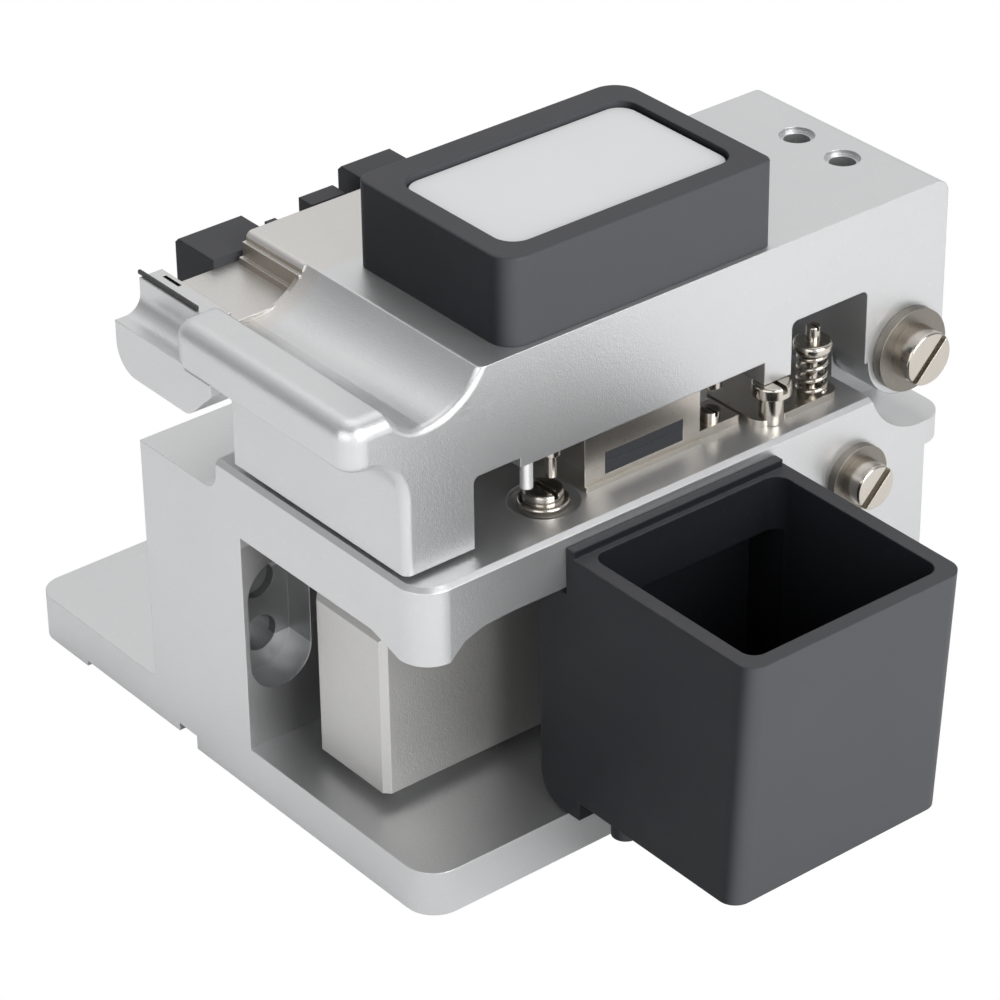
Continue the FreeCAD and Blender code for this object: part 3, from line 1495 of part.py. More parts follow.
results = [
    base_body(), rubber_feet(), hinge_screws(), hinge_washers(), side_screw(), side_washer(),
    lid_body(), edge_strip(), cover_box(), label_plate(),
    *upper_clamps(), *upper_pads(), *lower_clamps(), lower_pads(), guide_screws(),
    clamp_springs("clamp_springs_right", s.guide_x),
    clamp_springs("clamp_springs_left", mirrored(s.guide_x)),
    adjusting_screws(), lower_clamp_screws(), guide_pin(), stop_plate(), stop_screw(),
    lift_plunger(), lift_spring(), anvil(), anvil_spring(),
    slider_block(), slide_carriage(), slide_rail(), rail_screws(), axle_screw(),
    blade_wheel(), fibre_adapter(), adapter_screws(), clamp_bracket(), flap_pin(),
    clamp_flap(), flap_pad(), scrap_bin(), bin_pegs(), bin_catch(),
]
doc.recompute()

for thing in doc.Objects:
    if "Invalid" in thing.State or "Error" in thing.State:
        raise RuntimeError("%s does not compute" % thing.Label)

os.makedirs("parts", exist_ok=True)
for part in results:
    shape = part.Shape
    if shape.isNull() or not shape.isValid() or not shape.Solids:
        raise RuntimeError("%s has no valid solid" % part.Label)
    shape.exportStep("parts/%s.step" % part.Label)
    box = shape.BoundBox
    print("%-22s %2d solids  x %7.2f %7.2f  y %7.2f %7.2f  z %6.2f %6.2f" % (
        part.Label, len(shape.Solids), box.XMin, box.XMax, box.YMin, box.YMax,
        box.ZMin, box.ZMax))
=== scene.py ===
import math

import bpy
import numpy as np
from mathutils import Matrix, Vector


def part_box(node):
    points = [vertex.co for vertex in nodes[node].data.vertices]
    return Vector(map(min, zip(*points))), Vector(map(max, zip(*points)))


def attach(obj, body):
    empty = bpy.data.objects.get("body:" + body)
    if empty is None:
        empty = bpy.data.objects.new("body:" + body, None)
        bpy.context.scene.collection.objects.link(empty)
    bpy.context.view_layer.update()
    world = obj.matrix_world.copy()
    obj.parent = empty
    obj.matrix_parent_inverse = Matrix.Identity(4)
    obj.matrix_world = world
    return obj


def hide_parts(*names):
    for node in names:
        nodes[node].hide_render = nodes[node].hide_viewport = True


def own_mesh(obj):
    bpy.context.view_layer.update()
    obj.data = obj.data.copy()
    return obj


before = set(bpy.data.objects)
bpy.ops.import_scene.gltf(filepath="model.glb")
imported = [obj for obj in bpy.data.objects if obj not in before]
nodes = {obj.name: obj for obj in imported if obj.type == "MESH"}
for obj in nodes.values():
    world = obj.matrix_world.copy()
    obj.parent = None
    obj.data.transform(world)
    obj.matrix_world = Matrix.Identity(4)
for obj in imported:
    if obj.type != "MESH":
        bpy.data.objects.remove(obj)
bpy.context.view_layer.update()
mm = 0.001
perMillimetre = 1.0 / mm
white = (1, 1, 1, 1)
print("stage: frame loaded,", len(nodes), "nodes")


# Small helpers for shader graphs

class Graph:
    # one node tree with short calls to add, set and link nodes
    def __init__(self, tree):
        self.tree = tree

    def add(self, kind, **settings):
        node = self.tree.nodes.new(kind)
        for key, value in settings.items():
            setattr(node, key, value)
        return node

    def feed(self, socket, value):
        # link a socket, or set a plain value
        if isinstance(value, bpy.types.NodeSocket):
            self.tree.links.new(value, socket)
        else:
            socket.default_value = value

    def math(self, operation, a, b):
        node = self.add("ShaderNodeMath", operation=operation)
        self.feed(node.inputs[0], a)
        self.feed(node.inputs[1], b)
        return node.outputs[0]

    def plus(self, a, b):
        return self.math("ADD", a, b)

    def times(self, a, b):
        return self.math("MULTIPLY", a, b)

    def vector(self, operation, a, b):
        node = self.add("ShaderNodeVectorMath", operation=operation)
        self.feed(node.inputs[0], a)
        self.feed(node.inputs[1], b)
        return node.outputs["Value"] if operation == "DOT_PRODUCT" else node.outputs[0]

    def split(self, vector):
        # the x, y and z of a vector
        node = self.add("ShaderNodeSeparateXYZ")
        self.feed(node.inputs[0], vector)
        return node.outputs

    def mix(self, factor, a, b, blend="MIX"):
        # sockets 6, 7 and output 2 are the colour ones of this node
        node = self.add("ShaderNodeMix", data_type="RGBA", blend_type=blend)
        self.feed(node.inputs[0], factor)
        self.feed(node.inputs[6], a)
        self.feed(node.inputs[7], b)
        return node.outputs[2]

    def over(self, colour, mask, share, tone):
        # tone laid over the colour by a share of the mask
        return self.mix(self.times(mask, share), colour, tone)

    def ramp(self, value, low, high):
        # smooth step from 0 at low to 1 at high
        node = self.add("ShaderNodeMapRange", interpolation_type="SMOOTHSTEP")
        self.feed(node.inputs["Value"], value)
        self.feed(node.inputs["From Min"], low)
        self.feed(node.inputs["From Max"], high)
        return node.outputs[0]

    def facing(self, normal, direction, turn):
        # smooth step over the cosine between the normal and a direction
        return self.ramp(self.vector("DOT_PRODUCT", normal, direction), *turn)

    def noise(self, place, scale, detail, roughness):
        node = self.add("ShaderNodeTexNoise")
        self.feed(node.inputs["Vector"], place)
        self.feed(node.inputs["Scale"], scale)
        self.feed(node.inputs["Detail"], detail)
        self.feed(node.inputs["Roughness"], roughness)
        return node.outputs[0]

    def group(self, tree, **inputs):
        node = self.add("ShaderNodeGroup")
        node.node_tree = tree
        for key, value in inputs.items():
            self.feed(node.inputs[key], value)
        return node.outputs


def newGroup(name, inputs, outputs):
    # an empty node group with named float or vector sockets
    tree = bpy.data.node_groups.new(name, "ShaderNodeTree")
    kinds = {"value": "NodeSocketFloat", "vector": "NodeSocketVector"}
    for label, kind, start in inputs:
        socket = tree.interface.new_socket(label, in_out="INPUT", socket_type=kinds[kind])
        if start is not None:
            socket.default_value = start
    for label, kind in outputs:
        tree.interface.new_socket(label, in_out="OUTPUT", socket_type=kinds[kind])
    graph = Graph(tree)
    return graph, graph.add("NodeGroupInput").outputs, graph.add("NodeGroupOutput").inputs


# scales, shares and smooth-step bands inside the shared effects
effects = dict(
    coarseScale=0.37, fineShare=0.7, coarseShare=0.3, speckBand=(0.66, 0.74),
    streakScale=0.21, edgeFrom=0.004, wearScale=900.0, wearBand=(0.42, 0.62), bevelSamples=6)


def makeGrainGroup():
    # blasted or moulded grain: height of fine pits, slow cloudiness and rare bright specks
    graph, given, result = newGroup(
        "surfaceGrain",
        [("place", "vector", None), ("grainSize", "value", 0.1), ("cloudSize", "value", 12.0)],
        [("height", "value"), ("cloud", "value"), ("speck", "value")])
    grain = graph.math("DIVIDE", perMillimetre, given["grainSize"])
    cloud = graph.math("DIVIDE", perMillimetre, given["cloudSize"])
    fine = graph.noise(given["place"], grain, 2.0, 0.6)
    coarse = graph.noise(given["place"], graph.times(grain, effects["coarseScale"]), 1.0, 0.5)
    height = graph.plus(graph.times(fine, effects["fineShare"]),
                        graph.times(coarse, effects["coarseShare"]))
    graph.feed(result["height"], height)
    graph.feed(result["cloud"], graph.noise(given["place"], cloud, 3.0, 0.55))
    graph.feed(result["speck"], graph.ramp(coarse, *effects["speckBand"]))
    return graph.tree


def makeBrushGroup():
    # brushed or ground lines: noise stretched along one direction
    graph, given, result = newGroup(
        "brushedLines",
        [("place", "vector", None), ("stretch", "vector", (1.0, 1.0, 1.0)),
         ("lineSize", "value", 0.1)],
        [("height", "value"), ("streak", "value")])
    stretched = graph.vector("MULTIPLY", given["place"], given["stretch"])
    scale = graph.math("DIVIDE", perMillimetre, given["lineSize"])
    graph.feed(result["height"], graph.noise(stretched, scale, 3.0, 0.65))
    streak = graph.noise(stretched, graph.times(scale, effects["streakScale"]), 2.0, 0.5)
    graph.feed(result["streak"], streak)
    return graph.tree


def makeEdgeGroup():
    # edge masks: how far the softened normal turns away from the true one, as a plain mask that
    # paints highlights onto metal edges, and broken up by noise for rubbed wear
    graph, given, result = newGroup(
        "edgeHighlightAndWear",
        [("softNormal", "vector", None), ("trueNormal", "vector", None),
         ("place", "vector", None), ("width", "value", 0.12)],
        [("edge", "value"), ("worn", "value")])
    same = graph.vector("DOT_PRODUCT", given["softNormal"], given["trueNormal"])
    turned = graph.math("SUBTRACT", 1.0, same)
    edge = graph.ramp(turned, effects["edgeFrom"], given["width"])
    patches = graph.noise(given["place"], effects["wearScale"], 3.0, 0.6)
    graph.feed(result["edge"], edge)
    graph.feed(result["worn"], graph.times(edge, graph.ramp(patches, *effects["wearBand"])))
    return graph.tree


def makeRegionGroup():
    # mask of a soft-edged block: product over the axes of a smooth rise and a smooth fall
    graph, given, result = newGroup(
        "softRegion",
        [("place", "vector", None), ("low", "vector", None), ("high", "vector", None),
         ("soft", "value", 0.001)],
        [("mask", "value")])
    place, low, high = (graph.split(given[key]) for key in ("place", "low", "high"))
    soft = given["soft"]
    mask = 1.0
    for axis in range(3):
        rise = graph.ramp(place[axis], graph.math("SUBTRACT", low[axis], soft), low[axis])
        fall = graph.ramp(place[axis], graph.plus(high[axis], soft), high[axis])
        mask = graph.times(mask, graph.times(rise, fall))
    graph.feed(result["mask"], mask)
    return graph.tree


grainGroup = makeGrainGroup()
regionGroup = makeRegionGroup()
brushGroup = makeBrushGroup()
edgeGroup = makeEdgeGroup()


def emptyGraph(owner):
    # the cleared node tree of a material or a world
    owner.use_nodes = True
    owner.node_tree.nodes.clear()
    return Graph(owner.node_tree)


def startMaterial(name, edgeRadius):
    # material with object coordinates, softened edges and the output shader in place
    material = bpy.data.materials.new(name)
    graph = emptyGraph(material)
    place = graph.add("ShaderNodeTexCoord").outputs["Object"]
    bevel = graph.add("ShaderNodeBevel", samples=effects["bevelSamples"])
    graph.feed(bevel.inputs["Radius"], edgeRadius)
    soft = bevel.outputs[0]
    geometry = graph.add("ShaderNodeNewGeometry")
    edges = graph.group(edgeGroup, softNormal=soft, trueNormal=geometry.outputs["Normal"],
                        place=place)
    shader = graph.add("ShaderNodeBsdfPrincipled")
    output = graph.add("ShaderNodeOutputMaterial")
    graph.feed(output.inputs["Surface"], shader.outputs[0])
    return material, graph, place, soft, edges, shader


def finishShader(graph, shader, look, colour, uneven, height, soft):
    # colour, roughness spread by an uneven mask, and a bump over the softened normal
    graph.feed(shader.inputs["Base Color"], colour)
    rough = graph.plus(look["roughness"], graph.times(uneven, look["roughSpread"]))
    graph.feed(shader.inputs["Roughness"], rough)
    bump = graph.add("ShaderNodeBump")
    graph.feed(bump.inputs["Strength"], 1.0)
    graph.feed(bump.inputs["Distance"], look["bumpDepth"])
    graph.feed(bump.inputs["Height"], height)
    graph.feed(bump.inputs["Normal"], soft)
    graph.feed(shader.inputs["Normal"], bump.outputs[0])


def metalMaterial(name, look):
    # bare or anodised metal: grain and brushed lines, cloudy colour, edges lightened as a
    # painted highlight, tinted parts that are mostly painted shade
    material, graph, place, soft, edges, shader = startMaterial(name, look["edgeRadius"])
    grain = graph.group(grainGroup, place=place, grainSize=look["grainSize"])
    lines = graph.group(brushGroup, place=place, stretch=look["stretch"],
                        lineSize=look["lineSize"])
    height = graph.plus(graph.times(grain["height"], look["grainDepth"]),
                        graph.times(lines["height"], look["lineDepth"]))
    shade = graph.plus(graph.times(grain["cloud"], look["cloudy"]),
                       graph.times(lines["streak"], look["streaky"]))
    colour = graph.mix(shade, look["colour"], look["colourDark"])
    colour = graph.over(colour, grain["speck"], look["speckle"], look["speckColour"])
    # painted highlight: edges lightened in colour whatever the light
    colour = graph.over(colour, edges["edge"], look["edgeShineAndWear"], look["edgeColour"])
    # region tints: painted shade on the base and lid, besides a warm tone on the lid's deck
    for tint in look.get("tints", ()):
        region = graph.group(regionGroup, place=place, soft=tint["soft"] * mm,
                             low=[v * mm for v in tint["low"]],
                             high=[v * mm for v in tint["high"]])
        mask = graph.times(region["mask"], graph.facing(soft, tint["facing"], tint["turn"]))
        colour = graph.mix(mask, colour, tint["colour"], "MULTIPLY")
    graph.feed(shader.inputs["Metallic"], look["metallic"])
    finishShader(graph, shader, look, colour, grain["height"], height, soft)
    return material


def plasticMaterial(name, look):
    # moulded plastic or rubber: fine grain, soft sheen, pale dust mixed with a painted sheen on
    # the tops, painted light on faces to the right, and rubbed edges
    material, graph, place, soft, edges, shader = startMaterial(name, look["edgeRadius"])
    grain = graph.group(grainGroup, place=place, grainSize=look["grainSize"],
                        cloudSize=look["cloudSize"])
    colour = graph.mix(grain["cloud"], look["colour"], look["colourDark"])
    # dust together with a painted sheen of the sky's reflection on faces turned up
    upward = graph.facing(soft, (0.0, 0.0, 1.0), look["dustAndSheenTurn"])
    colour = graph.over(colour, upward, look["dustAndSheen"], look["dustAndSheenColour"])
    # painted light: faces turned to the right are lightened from the given x onward
    outer = graph.ramp(graph.split(place)[0], look["paintedSideLightFrom"] * mm,
                       (look["paintedSideLightFrom"] + look["paintedSideLightRise"]) * mm)
    sideways = graph.facing(soft, (1.0, 0.0, 0.0), look["paintedSideLightTurn"])
    paintedSideLight = graph.times(graph.times(sideways, look["paintedSideLight"]), outer)
    colour = graph.mix(paintedSideLight, colour, look["paintedSideLightColour"])
    colour = graph.over(colour, grain["speck"], look["speckle"], look["speckColour"])
    # rubbed wear: the edge mask broken up by noise lightens the plastic's edges
    colour = graph.over(colour, edges["worn"], look["edgeShineAndWear"], look["edgeColour"])
    graph.feed(shader.inputs["Specular IOR Level"], look["specular"])
    finishShader(graph, shader, look, colour, grain["cloud"], grain["height"], soft)
    return material


blasted = dict(
    colour=(0.67, 0.675, 0.68, 1), colourDark=(0.61, 0.615, 0.62, 1), metallic=0.9,
    roughness=0.33, roughSpread=0.10, grainSize=0.16, grainDepth=1.0, lineSize=0.3,
    stretch=(1.0, 0.05, 1.0), lineDepth=0.1, cloudy=0.7, streaky=0.2, speckle=0.18,
    speckColour=(0.80, 0.80, 0.80, 1), edgeShineAndWear=0.22, edgeColour=(0.86, 0.86, 0.86, 1),
    edgeRadius=0.14 * mm, bumpDepth=0.03 * mm)

# a tint whose turn lies below any cosine colours faces of every direction; sizes in mm
everywhere = dict(facing=(0.0, 0.0, 1.0), turn=(-1.2, -1.1))

# painted shade on the left wall of the slider's bay and in its pocket
baseBlasted = dict(blasted, tints=[
    dict(low=(-7.6, -30, 4), high=(-7.4, 13, 27.7), soft=0.05, facing=(1, 0, 0),
         turn=(0.3, 0.8), colour=(0.68, 0.68, 0.68, 1)),
    dict(everywhere, low=(-12, -29.6, 14.2), high=(-7.6, -22.3, 21.7), soft=0.05,
         colour=(0.55, 0.55, 0.55, 1)),
])

# warm left part of the deck; painted shade, brownish, on the risers of its steps and in the dark
# insides of the two short slots
lidBlasted = dict(blasted, tints=[
    dict(everywhere, low=(-20, -29.6, 48), high=(-6.5, 6, 56), soft=1.2,
         colour=(1.0, 0.968, 0.925, 1)),
    # painted shade on the risers of the steps, brownish
    dict(low=(-17, -22.9, 51), high=(-7.9, -21.2, 53.7), soft=0.1, facing=(0, -1, 0),
         turn=(0.3, 0.8), colour=(0.62, 0.565, 0.505, 1)),
    # painted shade inside the two short slots
    dict(everywhere, low=(-16.7, -30.8, 52.3), high=(-14.1, -30.35, 52.7), soft=0.02,
         colour=(0.08, 0.08, 0.08, 1)),
    dict(everywhere, low=(-7.2, -30.8, 52.3), high=(-4.6, -30.35, 53.0), soft=0.02,
         colour=(0.08, 0.08, 0.08, 1)),
])

sanded = dict(
    blasted, colour=(0.66, 0.655, 0.64, 1), colourDark=(0.57, 0.565, 0.55, 1),
    roughness=0.42, grainSize=0.22, bumpDepth=0.04 * mm, speckle=0.25,
    speckColour=(0.7, 0.7, 0.68, 1), edgeRadius=0.12 * mm)

nickel = dict(
    colour=(0.66, 0.62, 0.56, 1), colourDark=(0.50, 0.46, 0.41, 1), metallic=1.0,
    roughness=0.16, roughSpread=0.1, grainSize=0.2, grainDepth=0.3, lineSize=0.12,
    stretch=(1.0, 1.0, 0.1), lineDepth=0.5, cloudy=0.4, streaky=0.3, speckle=0.05,
    speckColour=(0.8, 0.78, 0.74, 1), edgeShineAndWear=0.5, edgeColour=(0.86, 0.84, 0.80, 1),
    edgeRadius=0.08 * mm, bumpDepth=0.004 * mm)

plated = dict(nickel, roughness=0.24, stretch=(0.2, 1.0, 1.0), lineDepth=0.9, lineSize=0.16)

ground = dict(
    nickel, colour=(0.55, 0.55, 0.55, 1), colourDark=(0.42, 0.42, 0.42, 1), roughness=0.28,
    stretch=(1.0, 0.06, 1.0))

dullNickel = dict(
    nickel, colour=(0.28, 0.26, 0.23, 1), colourDark=(0.20, 0.185, 0.165, 1),
    edgeColour=(0.6, 0.57, 0.52, 1), roughness=0.36)

brightPin = dict(
    nickel, colour=(0.92, 0.92, 0.92, 1), colourDark=(0.84, 0.84, 0.84, 1),
    metallic=0.7, roughness=0.35)

blackMetal = dict(
    nickel, colour=(0.05, 0.05, 0.052, 1), colourDark=(0.035, 0.035, 0.036, 1),
    metallic=0.3, roughness=0.45, edgeColour=(0.3, 0.3, 0.3, 1))

# the painted side light on faces to the right begins at the given x, here left of everything
satinBlack = dict(
    colour=(0.0125, 0.0135, 0.0165, 1), colourDark=(0.0095, 0.0105, 0.013, 1),
    cloudSize=9.0, roughness=0.45, roughSpread=0.12, grainSize=0.22,
    bumpDepth=0.006 * mm, specular=0.2, paintedSideLight=0.9, paintedSideLightFrom=-500, paintedSideLightRise=1,
    paintedSideLightTurn=(0.2, 0.98), paintedSideLightColour=(0.072, 0.074, 0.080, 1), dustAndSheen=0.2,
    dustAndSheenTurn=(0.3, 1.0), dustAndSheenColour=(0.22, 0.22, 0.23, 1), speckle=0.02,
    speckColour=(0.2, 0.2, 0.2, 1), edgeShineAndWear=0.2, edgeColour=(0.10, 0.10, 0.11, 1),
    edgeRadius=0.25 * mm)

# the bin's painted side light stays off its inner walls
binBlack = dict(satinBlack, paintedSideLightFrom=30)

rubber = dict(
    satinBlack, paintedSideLight=0.3, roughness=0.75, grainSize=0.3, bumpDepth=0.03 * mm,
    specular=0.3, dustAndSheen=0.15)

card = dict(
    satinBlack, colour=(0.66, 0.665, 0.67, 1), colourDark=(0.63, 0.635, 0.64, 1),
    roughness=0.3, roughSpread=0.08, grainSize=0.5, bumpDepth=0.004 * mm, dustAndSheen=0.0,
    paintedSideLight=0.0, speckle=0.04, edgeShineAndWear=0.2, speckColour=(0.6, 0.6, 0.6, 1),
    edgeColour=(0.85, 0.85, 0.85, 1), edgeRadius=0.1 * mm)

metals = {
    "blastedAluminium": baseBlasted, "lidAluminium": lidBlasted, "sandedAluminium": sanded,
    "brightPin": brightPin, "dullNickel": dullNickel, "nickelScrew": nickel,
    "platedPlate": plated, "groundSteel": ground, "blackMetal": blackMetal,
}
plastics = {"satinBlack": satinBlack, "binBlack": binBlack, "rubber": rubber, "labelCard": card}
looks = {name: metalMaterial(name, look) for name, look in metals.items()}
looks.update({name: plasticMaterial(name, look) for name, look in plastics.items()})

wearers = {
    "blastedAluminium": ["base_body"],
    "lidAluminium": ["lid_body"],
    "brightPin": ["guide_pin"],
    "dullNickel": ["hinge_washers", "side_washer"],
    "sandedAluminium": ["slider_block"],
    "nickelScrew": ["hinge_screws", "side_screw", "guide_screws", "adjusting_screws",
                    "lower_clamp_screws", "stop_screw", "lift_plunger", "axle_screw",
                    "adapter_screws", "flap_pin", "bin_pegs", "clamp_springs_right",
                    "clamp_springs_left", "lift_spring", "anvil_spring"],
    "platedPlate": ["upper_clamp_right", "upper_clamp_left", "lower_clamp_right",
                    "lower_clamp_left", "stop_plate"],
    "groundSteel": ["anvil", "slide_carriage", "slide_rail", "rail_screws", "blade_wheel"],
    "blackMetal": ["edge_strip"],
    "satinBlack": ["cover_box", "bin_catch", "clamp_bracket", "clamp_flap", "fibre_adapter"],
    "binBlack": ["scrap_bin"],
    "rubber": ["rubber_feet", "upper_pad_right", "upper_pad_left", "lower_pads", "flap_pad"],
    "labelCard": ["label_plate"],
}

for lookName, wearerNames in wearers.items():
    for name in wearerNames:
        mesh = nodes[name].data
        mesh.materials.clear()
        mesh.materials.append(looks[lookName])
print("stage: materials on every node")


# New pieces: surfaces worked out with numpy, in the same frame as the CAD nodes

def addObject(name, data):
    made = bpy.data.objects.new(name, data)
    bpy.context.scene.collection.objects.link(made)
    return made


def gridFaces(rows, columns):
    # quads between neighbouring points of a grid whose columns close round on themselves
    r, c = np.meshgrid(np.arange(rows - 1), np.arange(columns), indexing="ij")
    r2, c2 = r + 1, (c + 1) % columns
    corners = [r * columns + c, r2 * columns + c, r2 * columns + c2, r * columns + c2]
    return np.stack(corners, -1).reshape(-1, 4)


def outward(points, faces):
    # the sum of a . (b x c + c x d) over the quads is six times the volume they enclose;
    # where it comes out negative, all faces are turned over
    a, b, c, d = (points[faces[:, i]] for i in range(4))
    volume = np.sum(a * (np.cross(b, c) + np.cross(c, d)))
    return faces if volume > 0 else faces[:, ::-1]


# points nearer than weld, in metres, become one; edges sharper than the angle stay crisp
meshing = dict(weld=1e-8, sharpAngle=math.radians(38))


def addPiece(name, parts, look, body):
    # parts joined to one object; equal points become one, quads that lose a corner triangles
    corners, quads, offset = [], [], 0
    for points, faces in parts:
        points = points.reshape(-1, 3)
        corners.append(points)
        quads.append(outward(points, faces) + offset)
        offset += len(points)
    points = np.concatenate(corners)
    keys = np.round(points / meshing["weld"])
    _, first, back = np.unique(keys, axis=0, return_index=True, return_inverse=True)
    polygons = []
    for quad in back.reshape(-1)[np.concatenate(quads)]:
        ring = [int(v) for i, v in enumerate(quad) if v != quad[i - 1]]
        if len(set(ring)) > 2:
            polygons.append(ring)
    mesh = bpy.data.meshes.new(name)
    mesh.from_pydata(points[first].tolist(), [], polygons)
    mesh.polygons.foreach_set("use_smooth", np.ones(len(polygons), bool))
    mesh.set_sharp_from_angle(angle=meshing["sharpAngle"])
    mesh.materials.append(looks[look])
    made = addObject(name, mesh)
    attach(made, body)
    return made


def revolve(centre, axis, profile, steps=64):
    # each profile point (r, h) goes round the axis: centre + h a + r (cos t e1 + sin t e2)
    a = np.array(axis, float)
    e1 = np.array((a[1], a[2], a[0]))
    e2 = np.cross(a, e1)
    turn = np.linspace(0, 2 * np.pi, steps, endpoint=False)
    ring = np.cos(turn)[:, None] * e1 + np.sin(turn)[:, None] * e2
    r, h = np.array(profile, float).T
    points = np.array(centre) + h[:, None, None] * a + r[:, None, None] * ring[None]
    return points, gridFaces(len(r), steps)


def softDisc(radius, low, high, soft, steps=6):
    # profile of a disc of radius R with quarter-round edges of radius s: r = R - s + s cos t,
    # and h lies s (1 - sin t) inside the low and the high end
    t = np.linspace(0, np.pi / 2, steps)
    r = radius - soft + soft * np.cos(t)
    rise = soft * (1 - np.sin(t))
    under = list(zip(r[::-1], low + rise[::-1]))
    over = list(zip(r, high - rise))
    return [(0, low)] + under + over + [(0, high)]


def slottedHead(centre, axis, along, look):
    # screw head cut into columns across its slot, at k = R sin t. Each column is a closed loop
    # with half width sqrt(r^2 - k^2) for every ring r of the quarter-round rim; between the
    # walls of the slot no point rises above the slot's floor
    a, d = np.array(axis, float), np.array(along, float)
    c = np.cross(a, d)
    radius, high, soft = look["radius"], look["high"], look["soft"]
    half, floor = look["slotWide"] / 2, high - look["slotDeep"]
    edge = np.arcsin(half / radius)
    outer = radius * np.sin(np.linspace(edge, np.pi / 2, look["columns"]))
    k = np.concatenate([-outer[::-1], [-half, half], outer])
    inSlot = np.zeros(len(k), bool)
    inSlot[len(outer):len(outer) + 2] = True
    t = np.linspace(0, np.pi / 2, look["rings"])
    ringRadius = radius - soft + soft * np.cos(t)
    ringHigh = high - soft + soft * np.sin(t)
    side = np.abs(k)[:, None]
    width = np.sqrt(np.maximum(ringRadius[None] ** 2 - side ** 2, 0))
    over = np.clip((side - (radius - soft)) / soft, 0, 1)
    rise = np.minimum(ringHigh[None], high - soft + soft * np.sqrt(1 - over ** 2))
    rise[inSlot] = np.minimum(rise[inSlot], floor)
    foot = width[:, :1]
    ground = np.zeros_like(foot)
    u = np.concatenate([-foot, -width, width[:, ::-1], foot], 1)
    h = np.concatenate([ground, rise, rise[:, ::-1], ground], 1)
    points = (np.array(centre) + u[..., None] * d + h[..., None] * a
              + k[:, None, None] * c)
    return points, gridFaces(len(k), u.shape[1])


def coil(centre, low, high, look):
    # wire round a helix: angle 2 pi n s, height from the running sum of a pitch that is small
    # over the closed end turns; the wire's circle stands square to the helix and shrinks to a
    # point over the last steps of each end
    s = np.linspace(0, 1, look["steps"])
    turns = look["turns"]
    inside = np.minimum(s, 1 - s) * turns / look["closedTurns"]
    pitch = look["endPitch"] + np.clip(inside - look["pitchFrom"], 0, 1) ** 0.5
    height = np.concatenate([[0], np.cumsum((pitch[1:] + pitch[:-1]) / 2)])
    wire = look["wire"]
    z = low + wire + (high - low - 2 * wire) * height / height[-1]
    angle = 2 * np.pi * turns * s
    radial = np.stack([np.cos(angle), np.sin(angle), np.zeros_like(s)], -1)
    path = np.stack([look["radius"] * radial[:, 0], look["radius"] * radial[:, 1], z], -1)
    forward = np.gradient(path, axis=0)
    forward /= np.linalg.norm(forward, axis=1)[:, None]
    upward = np.cross(forward, radial)
    count = np.arange(len(s))
    nearEnd = np.minimum(np.minimum(count, count[::-1]), look["taper"]) / look["taper"]
    thick = wire * np.sqrt(np.clip(1 - (1 - nearEnd) ** 2, 0, 1))
    turn = np.linspace(0, 2 * np.pi, look["around"], endpoint=False)[None, :, None]
    circle = np.cos(turn) * radial[:, None] + np.sin(turn) * upward[:, None]
    points = np.array((centre[0], centre[1], 0)) + path[:, None] + thick[:, None, None] * circle
    return points, gridFaces(len(s), look["around"])


def sweepBar(low, high, soft, steps=5):
    # straight bar along X. Its section is the corner (half - s) plus s (cos t, sin t) in each
    # quarter; towards both ends x = end + s (1 - cos t) and the section shrinks by s (1 - sin t)
    lowCorner, highCorner = np.array(low), np.array(high)
    middle, half = (lowCorner + highCorner) / 2, (highCorner - lowCorner) / 2
    t = np.linspace(0, np.pi / 2, steps)
    turn = np.concatenate([t + i * np.pi / 2 for i in range(4)])
    sign = np.array([(1, 1), (-1, 1), (-1, -1), (1, -1)]).repeat(steps, 0)
    section = sign * (half[1:] - soft) + soft * np.stack([np.cos(turn), np.sin(turn)], -1)
    inset = soft * (1 - np.sin(t))
    scale = 1 - inset / half[1:].min()
    shrink = np.concatenate([[0], scale, scale[::-1], [0]])
    run = soft * (1 - np.cos(t))
    x = np.concatenate([[lowCorner[0]], lowCorner[0] + run,
                        highCorner[0] - run[::-1], [highCorner[0]]])
    points = np.empty((len(x), len(section), 3))
    points[..., 0] = x[:, None]
    points[..., 1:] = middle[1:] + shrink[:, None, None] * section[None]
    return points, gridFaces(len(x), len(section))


up, right, straightSlot = (0, 0, 1), (1, 0, 0), (1, 0, 0)
leaningSlot = (0, math.sqrt(0.5), math.sqrt(0.5))

# innerX is where the shanks of both hinge screws end
hingeHead = dict(radius=2.75 * mm, high=2.3 * mm, soft=0.28 * mm, slotWide=0.75 * mm,
                 slotDeep=1.1 * mm, columns=22, rings=6, shank=2.0 * mm, innerX=3.05 * mm)


def makeHingeScrews():
    # a slotted head and a plain shank on either side
    look = hingeHead
    low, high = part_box("hinge_screws")
    middle = (low + high) / 2
    parts = []
    for sign, face in ((1, high.x - look["high"]), (-1, low.x + look["high"])):
        axis = (sign, 0, 0)
        reach = abs(face - look["innerX"])
        start = (face - sign * reach, middle.y, middle.z)
        shank = [(0, 0), (look["shank"], 0), (look["shank"], reach), (0, reach)]
        parts.append(slottedHead((face, middle.y, middle.z), axis, leaningSlot, look))
        parts.append(revolve(start, axis, shank))
    made = addPiece("hingeScrews", parts, "nickelScrew", "base")
    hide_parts("hinge_screws")


sideHead = dict(hingeHead, radius=2.3 * mm, high=2.2 * mm, slotWide=0.9 * mm)


def makeSideScrew():
    # slotted head over the washer on the right side
    low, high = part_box("side_screw")
    middle = (low + high) / 2
    head = slottedHead((low.x, middle.y, middle.z), right, leaningSlot, sideHead)
    made = addPiece("sideScrew", [head], "nickelScrew", "base")
    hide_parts("side_screw")


stopHead = dict(hingeHead, radius=1.9 * mm, high=1.25 * mm, slotWide=0.6 * mm,
                slotDeep=0.7 * mm, soft=0.3 * mm, shank=1.2 * mm, shankSoft=0.12 * mm)


